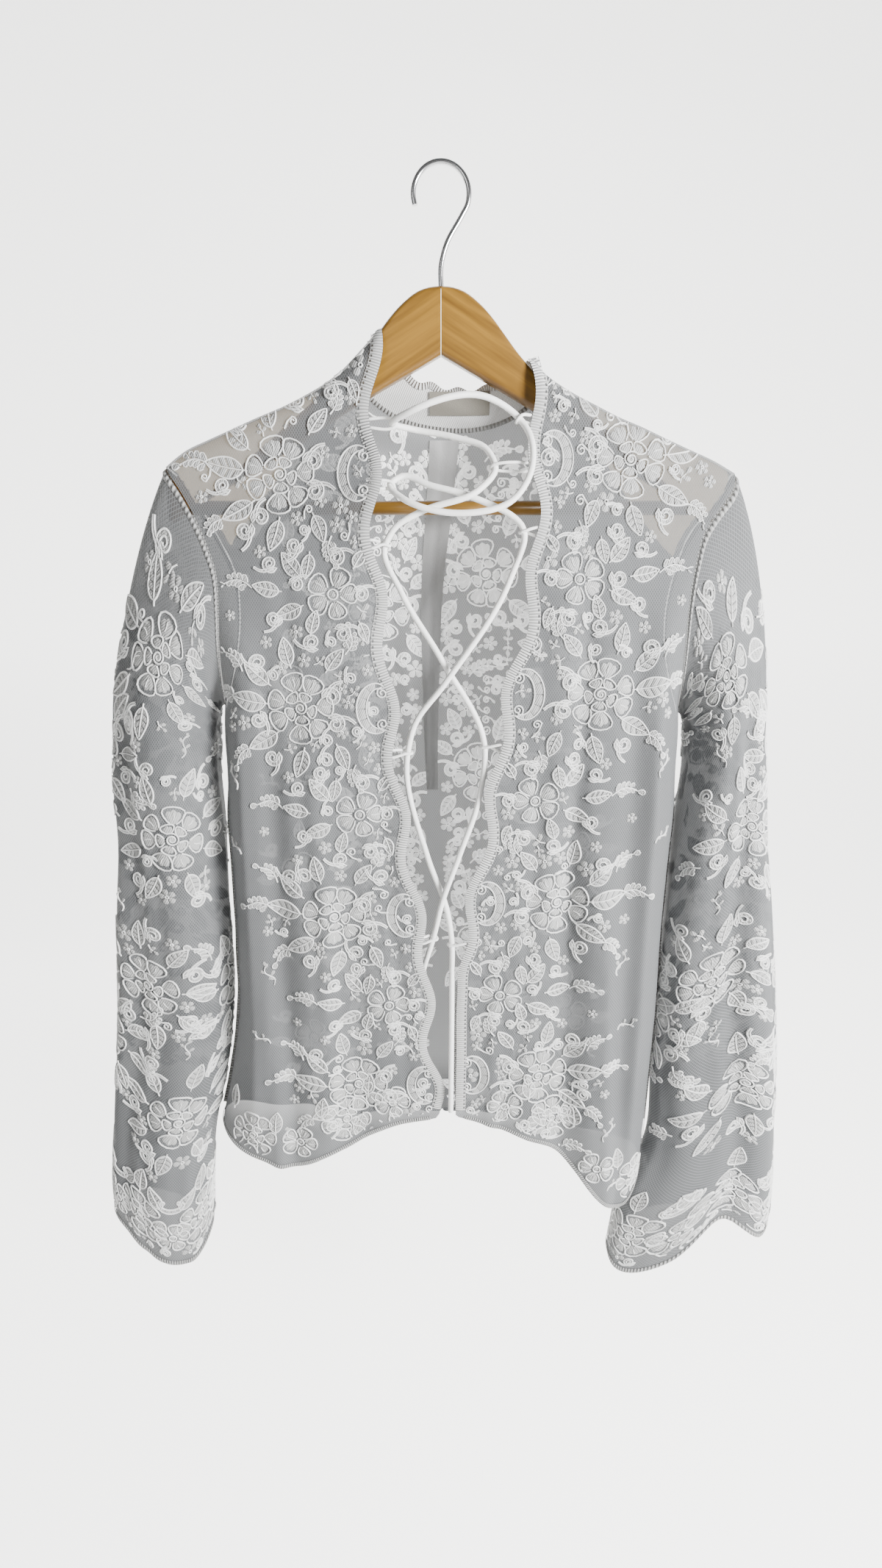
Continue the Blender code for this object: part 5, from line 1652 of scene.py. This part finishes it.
def pad_surfaces(side):
    """The outer and the inner surface of one shoulder pad, under the cloth and over the hanger."""
    tip_x, end_x = PAD_ENDS[side]
    shares = np.linspace(0.0, 1.0, 30)
    alongs = np.linspace(-1.0, 1.0, 41)
    places = np.zeros((len(alongs), len(shares), 3))
    thickness = np.zeros((len(alongs), len(shares)))
    for column, share in enumerate(shares):
        x = tip_x + (end_x - tip_x) * share
        front = float(column_at(PAD_FORM, "front_reach", "share", share))
        back = float(column_at(PAD_FORM, "back_reach", "share", share))
        full = float(column_at(PAD_FORM, "thickness", "share", share))
        for row, along in enumerate(alongs):
            facing = FRONT if along < 0 else BACK
            fall = (front if facing == FRONT else back) * abs(along) ** 1.6
            armhole_x = float(column_at(OUTER_EDGE[side], "x", "drop", crest_drop(x) + fall))
            limit = side * armhole_x - PAD_ARMHOLE_GAP
            easing = float(smooth_step(fall / PAD_CREST))
            at_x = side * (side * x + (min(side * x, limit) - side * x) * easing)
            drop = float(crest_drop(at_x)) + fall
            places[row, column] = body_surface(side, facing, at_x, drop)
            thickness[row, column] = PAD_THINNEST + (full - PAD_THINNEST) * (1 - along**4)
    normals = unit(np.cross(np.gradient(places, axis=1), np.gradient(places, axis=0)))
    facing_out = np.sign(normals[..., 2:3] + 1e-9 + normals[..., 1:2] * np.sign(places[..., 1:2]))
    normals = normals * facing_out
    outside = LAYER_STEP + PAD_EASE - 0.4
    return places - normals * outside, places - normals * (outside + thickness[..., None])


def make_pads():
    for side in (LEFT, RIGHT):
        name = side_name(side)
        outside, inside = pad_surfaces(side)
        rows, columns = outside.shape[:2]
        grids = np.concatenate([outside.reshape(-1, 3), inside.reshape(-1, 3)])
        second = rows * columns
        faces = []
        for row in range(rows - 1):
            for corner in range(row * columns, (row + 1) * columns - 1):
                face = (corner, corner + 1, corner + columns + 1, corner + columns)
                faces += [face, tuple(second + place for place in reversed(face))]
        ring = list(range(columns))
        ring += [row * columns + columns - 1 for row in range(1, rows)]
        ring += [(rows - 1) * columns + column for column in range(columns - 2, -1, -1)]
        ring += [row * columns for row in range(rows - 2, 0, -1)]
        for place, first in enumerate(ring):
            beside = ring[(place + 1) % len(ring)]
            faces.append((beside, first, second + first, second + beside))
        mesh = bpy.data.meshes.new(f"Shoulder pad {name}")
        mesh.from_pydata((grids * MM).tolist(), [], faces)
        mesh.shade_smooth()
        mesh.materials.append(look_named("Pad cloth"))
        pad = linked(mesh.name, mesh)
        wear("pad", pad)
        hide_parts(f"shoulder_pad_{name}")


def make_label():
    xs = np.linspace(LABEL_LEFT, LABEL_LEFT + LABEL_WIDTH, 40)
    drops = np.linspace(LABEL_TOP, LABEL_TOP + LABEL_HEIGHT, 16)
    flat = flat_places(xs[None], drops[:, None])
    places = back_surface(*flat_parts(flat), np.full((len(drops), len(xs)), -1.5))
    label = laid_grid("Neck label", places, flat, look_named("Label cloth"))
    wear("label", label)
    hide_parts("neck_label")


def cord_places(count):
    """The middle of the lacing cord, from its right end through the loops to its left end."""
    return smooth_path([(bend.x, bend.y, -bend.drop) for bend in CORD_ROUTE], count)


def tube(name, points, diameter, material, resolution=5):
    curve = bpy.data.curves.new(name, "CURVE")
    curve.dimensions = "3D"
    curve.bevel_depth = diameter / 2 * MM
    curve.bevel_resolution = resolution
    curve.use_fill_caps = True
    spline = curve.splines.new("POLY")
    spline.points.add(len(points) - 1)
    for point, place in zip(spline.points, points):
        point.co = (*(place * MM), 1.0)
    spline.use_smooth = True
    curve.materials.append(material)
    return linked(name, curve)


def make_lacing():
    points = cord_places(420)[::-1]
    cord = tube("Lacing cord", points, CORD_DIAMETER, look_named("Rouleau"))
    wear("cord", cord)
    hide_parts("lacing_cord")


def wrong_side_place(side, x, drop):
    """A loop's place behind the front, just clear of it."""
    place = body_surface(side, FRONT, x, drop)
    return place + np.array([0.0, LOOP_DIAMETER / 2 + WRONG_SIDE_EASE, 0.0])


def make_loops():
    """Each loop runs from the wrong side of the front edge, round the cord and back."""
    cord = cord_places(1400)
    along = np.gradient(cord, axis=0)
    counts = {LEFT: 0, RIGHT: 0}
    for loop in LACE_LOOPS:
        counts[loop.side] += 1
        name = side_name(loop.side)
        nearest = int(np.argmin(np.linalg.norm(cord - (loop.tip_x, loop.depth, -loop.drop), axis=1)))
        centre = cord[nearest]
        tangent = unit(along[nearest])
        outward = unit(np.array([-loop.side, 0.0, 0.0]) + loop.side * tangent * tangent[0])
        beside = np.cross(tangent, outward)
        if beside[2] < 0:
            beside = -beside
        reach = (CORD_DIAMETER + LOOP_DIAMETER) / 2 + 0.1
        turns = np.radians((90, 54, 18, -18, -54, -90))
        round_cord = [centre + reach * (np.cos(turn) * outward + np.sin(turn) * beside) for turn in turns]
        edge_x = float(opening_x(loop.side, loop.drop))
        root_drop = -centre[2]
        spreads = ((loop.root_x, LOOP_DIAMETER * 0.8), (edge_x, reach * 0.85))
        upper = [wrong_side_place(loop.side, x, root_drop - spread) for x, spread in spreads]
        lower = [wrong_side_place(loop.side, x, root_drop + spread) for x, spread in reversed(spreads)]
        route = smooth_path(np.array(upper + round_cord + lower), 50)
        number = counts[loop.side]
        piece = tube(f"Loop {name} {number}", route, LOOP_DIAMETER, look_named("Loop thread"), 3)
        wear("cord", piece)
        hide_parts(f"lace_loop_{name}_{number}")


def wooden(shape, name, side):
    """Gives a wooden shape flat coordinates along and across its grain, and its material."""
    layer = shape.loops.layers.uv.new("Flat")
    slope = math.radians(GRAIN_SLOPE) if side else 0.0
    for face in shape.faces:
        for corner in face.loops:
            place = corner.vert.co
            along = abs(place.x) * math.cos(slope) - place.z * math.sin(slope)
            across = place.z * math.cos(slope) + abs(place.x) * math.sin(slope)
            corner[layer].uv = (along + 0.31 * (side == RIGHT), across + 0.6 * place.y)
    return from_shape(name, shape, look_named("Varnished wood"))


def make_hanger():
    for side in (LEFT, RIGHT):
        name = side_name(side)
        shape = bmesh.new()
        corners = []
        for x, drop in np.concatenate([smooth_path(ARM_TOP, 60), smooth_path(ARM_UNDERSIDE, 40)]):
            place = (side * max(x, 0.15) * MM, -ARM_THICKNESS / 2 * MM, -drop * MM)
            corners.append(shape.verts.new(place))
        face = shape.faces.new(corners)
        made = bmesh.ops.extrude_face_region(shape, geom=[face])
        moved = [part for part in made["geom"] if isinstance(part, bmesh.types.BMVert)]
        bmesh.ops.translate(shape, vec=(0.0, ARM_THICKNESS * MM, 0.0), verts=moved)
        bmesh.ops.recalc_face_normals(shape, faces=shape.faces)
        rounded = shape.edges.layers.float.new("bevel_weight_edge")
        for edge in shape.edges:
            mitre = all(abs(corner.co.x) < 0.2 * MM for corner in edge.verts)
            edge.smooth = not mitre
            edge[rounded] = 0.0 if mitre or edge.calc_face_angle(0.0) < math.radians(50) else 1.0
        arm = wooden(shape, f"Hanger arm {name}", side)
        rounding = arm.modifiers.new("Rounded edges", "BEVEL")
        rounding.width = ARM_ROUND * MM
        rounding.segments = 5
        rounding.limit_method = "WEIGHT"
        wear("wood", arm)
        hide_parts(f"hanger_arm_{name}")
    shape = bmesh.new()
    radius = BAR_DIAMETER / 2 * MM
    depth = 2 * BAR_HALF_LENGTH * MM
    bmesh.ops.create_cone(shape, cap_ends=True, segments=48, radius1=radius, radius2=radius, depth=depth)
    upright_to_level = Matrix.Rotation(math.pi / 2, 3, "Y")
    bmesh.ops.rotate(shape, verts=shape.verts, cent=(0, 0, 0), matrix=upright_to_level)
    bmesh.ops.translate(shape, verts=shape.verts, vec=(0.0, 0.0, -BAR_DROP * MM))
    bar = wooden(shape, "Hanger bar", 0)
    wear("wood", bar)
    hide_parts("hanger_bar")
    reach = HOOK_INNER_RADIUS + WIRE_DIAMETER / 2
    foot = -ARM_TOP[0].drop - STEM_SUNK
    stem = [np.array(place) for place in ((0.0, 0.0, foot), (0.0, 0.0, -56.0), (3.0, 0.0, -45.0))]
    turns = [math.radians(angle) for angle in np.arange(-40, 201, 20)]
    centre = np.array([0.0, 0.0, -HOOK_INNER_RADIUS])
    arc_places = [centre + reach * np.array([math.cos(turn), 0.0, math.sin(turn)]) for turn in turns]
    metal = Look("Polished wire", (0.62, 0.62, 0.63), 0.22, 1.0)
    metal.link(metal.noise(metal.object_place(), 90.0) * 0.16 + 0.14, "Roughness")
    hook = tube("Hanger hook", smooth_path(stem + arc_places, 140), WIRE_DIAMETER, metal.material, 8)
    wear("metal", hook)
    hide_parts("hanger_hook")


def lamp(name, place, aim, size, power):
    data = bpy.data.lights.new(name, "AREA")
    data.shape = "DISK"
    data.size = size
    data.energy = power
    light = linked(name, data)
    light.location = place
    light.rotation_euler = (Vector(aim) - Vector(place)).to_track_quat("-Z", "Y").to_euler()


def make_stage():
    """A pale floor that curves up into a backdrop, soft lamps, and the photo's camera."""
    settings = bpy.context.scene.lace_shirt
    turn = np.radians(np.linspace(0.0, 90.0, 24))
    back_y = STAGE_BACK + STAGE_BEND * np.sin(turn)
    up_z = STAGE_FLOOR + STAGE_BEND * (1 - np.cos(turn))
    profile = np.concatenate([[(-4.0, STAGE_FLOOR)], np.stack([back_y, up_z], axis=1), [(back_y[-1], 5.0)]])
    shape = bmesh.new()
    bmesh.ops.create_grid(shape, x_segments=1, y_segments=len(profile) - 1, size=1.0)
    for vertex in shape.verts:
        row = round((vertex.co.y + 1) / 2 * (len(profile) - 1))
        vertex.co = (vertex.co.x * 8.0, *profile[row])
    look = Look("Pale paper", (settings.stage_tone, settings.stage_tone, settings.stage_tone * 0.985), 0.95)
    look.bump(look.noise(look.object_place(), 30.0), 0.02, 0.001)
    lit = ((look.object_part("Y") - GLOW_FROM) / GLOW_OVER).maths("ADD", 0.0, clamp=True)
    look.link(look.between(lit, (0.0, 0.0, 0.0), (1.0, 0.995, 0.975)), "Emission Color")
    look.shader.inputs["Emission Strength"].default_value = settings.stage_glow
    look.material.cycles.emission_sampling = "NONE"
    from_shape("Stage", shape, look.material)
    world = bpy.context.scene.world or bpy.data.worlds.new("World")
    bpy.context.scene.world = world
    world.use_nodes = True
    sky = world.node_tree.nodes["Background"]
    sky.inputs["Color"].default_value = (1.0, 1.0, 0.99, 1.0)
    sky.inputs["Strength"].default_value = settings.world_light
    aim = (0.0, 0.0, -0.45)
    lamp("Key lamp", (1.05, -0.85, -0.1), aim, 0.5, settings.key_light)
    lamp("Fill lamp", (-0.9, -2.0, 0.3), aim, 1.0, settings.fill_light)
    lamp("Back lamp", (0.3, 1.0, 1.6), aim, 1.4, settings.back_light)
    camera = bpy.context.scene.camera
    if camera is None:
        camera = linked("Camera", bpy.data.cameras.new("Camera"))
        bpy.context.scene.camera = camera
    camera.data.sensor_fit = "AUTO"
    camera.data.sensor_width = 36.0
    camera.data.lens = CAMERA_LENS
    camera.data.clip_start = 0.01
    camera.data.dof.use_dof = False
    camera.location = CAMERA_PLACE
    camera.rotation_euler = (math.radians(CAMERA_TILT), 0.0, 0.0)


class LaceShirtSettings(bpy.types.PropertyGroup):
    """Values that a user may change before dressing the shirt."""

    net_cell: bpy.props.FloatProperty(name="Net cell (mm)", default=1.8, min=0.8, max=4.0)
    # The least cover is that of the painted-shade film in the net's open cells.
    net_cover: bpy.props.FloatProperty(name="Least cover of the net", default=0.78, min=0.0, max=0.9)
    stage_glow: bpy.props.FloatProperty(name="Backdrop glow", default=2.4, min=0.0, max=5.0)
    stage_tone: bpy.props.FloatProperty(name="Backdrop tone", default=0.86, min=0.1, max=1.0)
    world_light: bpy.props.FloatProperty(name="World light", default=0.16, min=0.0, max=5.0)
    key_light: bpy.props.FloatProperty(name="Key light (W)", default=80.0, min=0.0, max=500.0)
    fill_light: bpy.props.FloatProperty(name="Fill light (W)", default=7.0, min=0.0, max=500.0)
    back_light: bpy.props.FloatProperty(name="Back light (W)", default=14.0, min=0.0, max=500.0)


class LACE_OT_fronts(bpy.types.Operator):
    """Make both fronts: net, motifs and scalloped borders"""

    bl_idname = "lace.fronts"
    bl_label = "Fronts"

    def execute(self, context):
        make_front(LEFT)
        make_front(RIGHT)
        return {"FINISHED"}


class LACE_OT_backs(bpy.types.Operator):
    """Make both backs with their motifs and hem borders"""

    bl_idname = "lace.backs"
    bl_label = "Backs"

    def execute(self, context):
        make_back(LEFT)
        make_back(RIGHT)
        return {"FINISHED"}


class LACE_OT_neck(bpy.types.Operator):
    """Make the band round the back neck and the bare label"""

    bl_idname = "lace.neck"
    bl_label = "Neck band and label"

    def execute(self, context):
        make_neck_band()
        make_label()
        return {"FINISHED"}


class LACE_OT_sleeves(bpy.types.Operator):
    """Make both sleeves: net, clusters, cuff borders and armhole allowances"""

    bl_idname = "lace.sleeves"
    bl_label = "Sleeves"

    def execute(self, context):
        make_sleeve(LEFT)
        make_sleeve(RIGHT)
        return {"FINISHED"}


class LACE_OT_seams(bpy.types.Operator):
    """Make the raised allowances of the side seams and the centre back"""

    bl_idname = "lace.seams"
    bl_label = "Seams"

    def execute(self, context):
        make_side_seams()
        return {"FINISHED"}


class LACE_OT_pads(bpy.types.Operator):
    """Make the shoulder pads"""

    bl_idname = "lace.pads"
    bl_label = "Shoulder pads"

    def execute(self, context):
        make_pads()
        return {"FINISHED"}


class LACE_OT_lacing(bpy.types.Operator):
    """Make the lacing cord and the thread loops that hold it"""

    bl_idname = "lace.lacing"
    bl_label = "Lacing"

    def execute(self, context):
        make_lacing()
        make_loops()
        return {"FINISHED"}


class LACE_OT_hanger(bpy.types.Operator):
    """Make the wooden arms, the bar and the wire hook"""

    bl_idname = "lace.hanger"
    bl_label = "Hanger"

    def execute(self, context):
        make_hanger()
        return {"FINISHED"}


class LACE_OT_stage(bpy.types.Operator):
    """Make the backdrop, the lamps and the camera"""

    bl_idname = "lace.stage"
    bl_label = "Stage"

    def execute(self, context):
        make_stage()
        return {"FINISHED"}


class LACE_PT_panel(bpy.types.Panel):
    """The sidebar panel of the lace shirt"""

    bl_idname = "LACE_PT_panel"
    bl_label = "Lace shirt"
    bl_space_type = "VIEW_3D"
    bl_region_type = "UI"
    bl_category = "Lace shirt"

    def draw(self, context):
        settings = context.scene.lace_shirt
        for name in LaceShirtSettings.__annotations__:
            self.layout.prop(settings, name)
        for operator in OPERATORS:
            self.layout.operator(operator.bl_idname)


OPERATORS = (
    LACE_OT_hanger,
    LACE_OT_pads,
    LACE_OT_backs,
    LACE_OT_neck,
    LACE_OT_fronts,
    LACE_OT_sleeves,
    LACE_OT_seams,
    LACE_OT_lacing,
    LACE_OT_stage,
)
CLASSES = (LaceShirtSettings,) + OPERATORS + (LACE_PT_panel,)


def register():
    for made in CLASSES:
        bpy.utils.register_class(made)
    bpy.types.Scene.lace_shirt = bpy.props.PointerProperty(type=LaceShirtSettings)


def unregister():
    del bpy.types.Scene.lace_shirt
    for made in reversed(CLASSES):
        bpy.utils.unregister_class(made)


def main():
    register()
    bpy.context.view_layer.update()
    bpy.ops.lace.hanger()
    bpy.ops.lace.pads()
    bpy.ops.lace.backs()
    bpy.ops.lace.neck()
    bpy.ops.lace.fronts()
    bpy.ops.lace.sleeves()
    bpy.ops.lace.seams()
    bpy.ops.lace.lacing()
    bpy.ops.lace.stage()


if __name__ == "__main__":
    main()
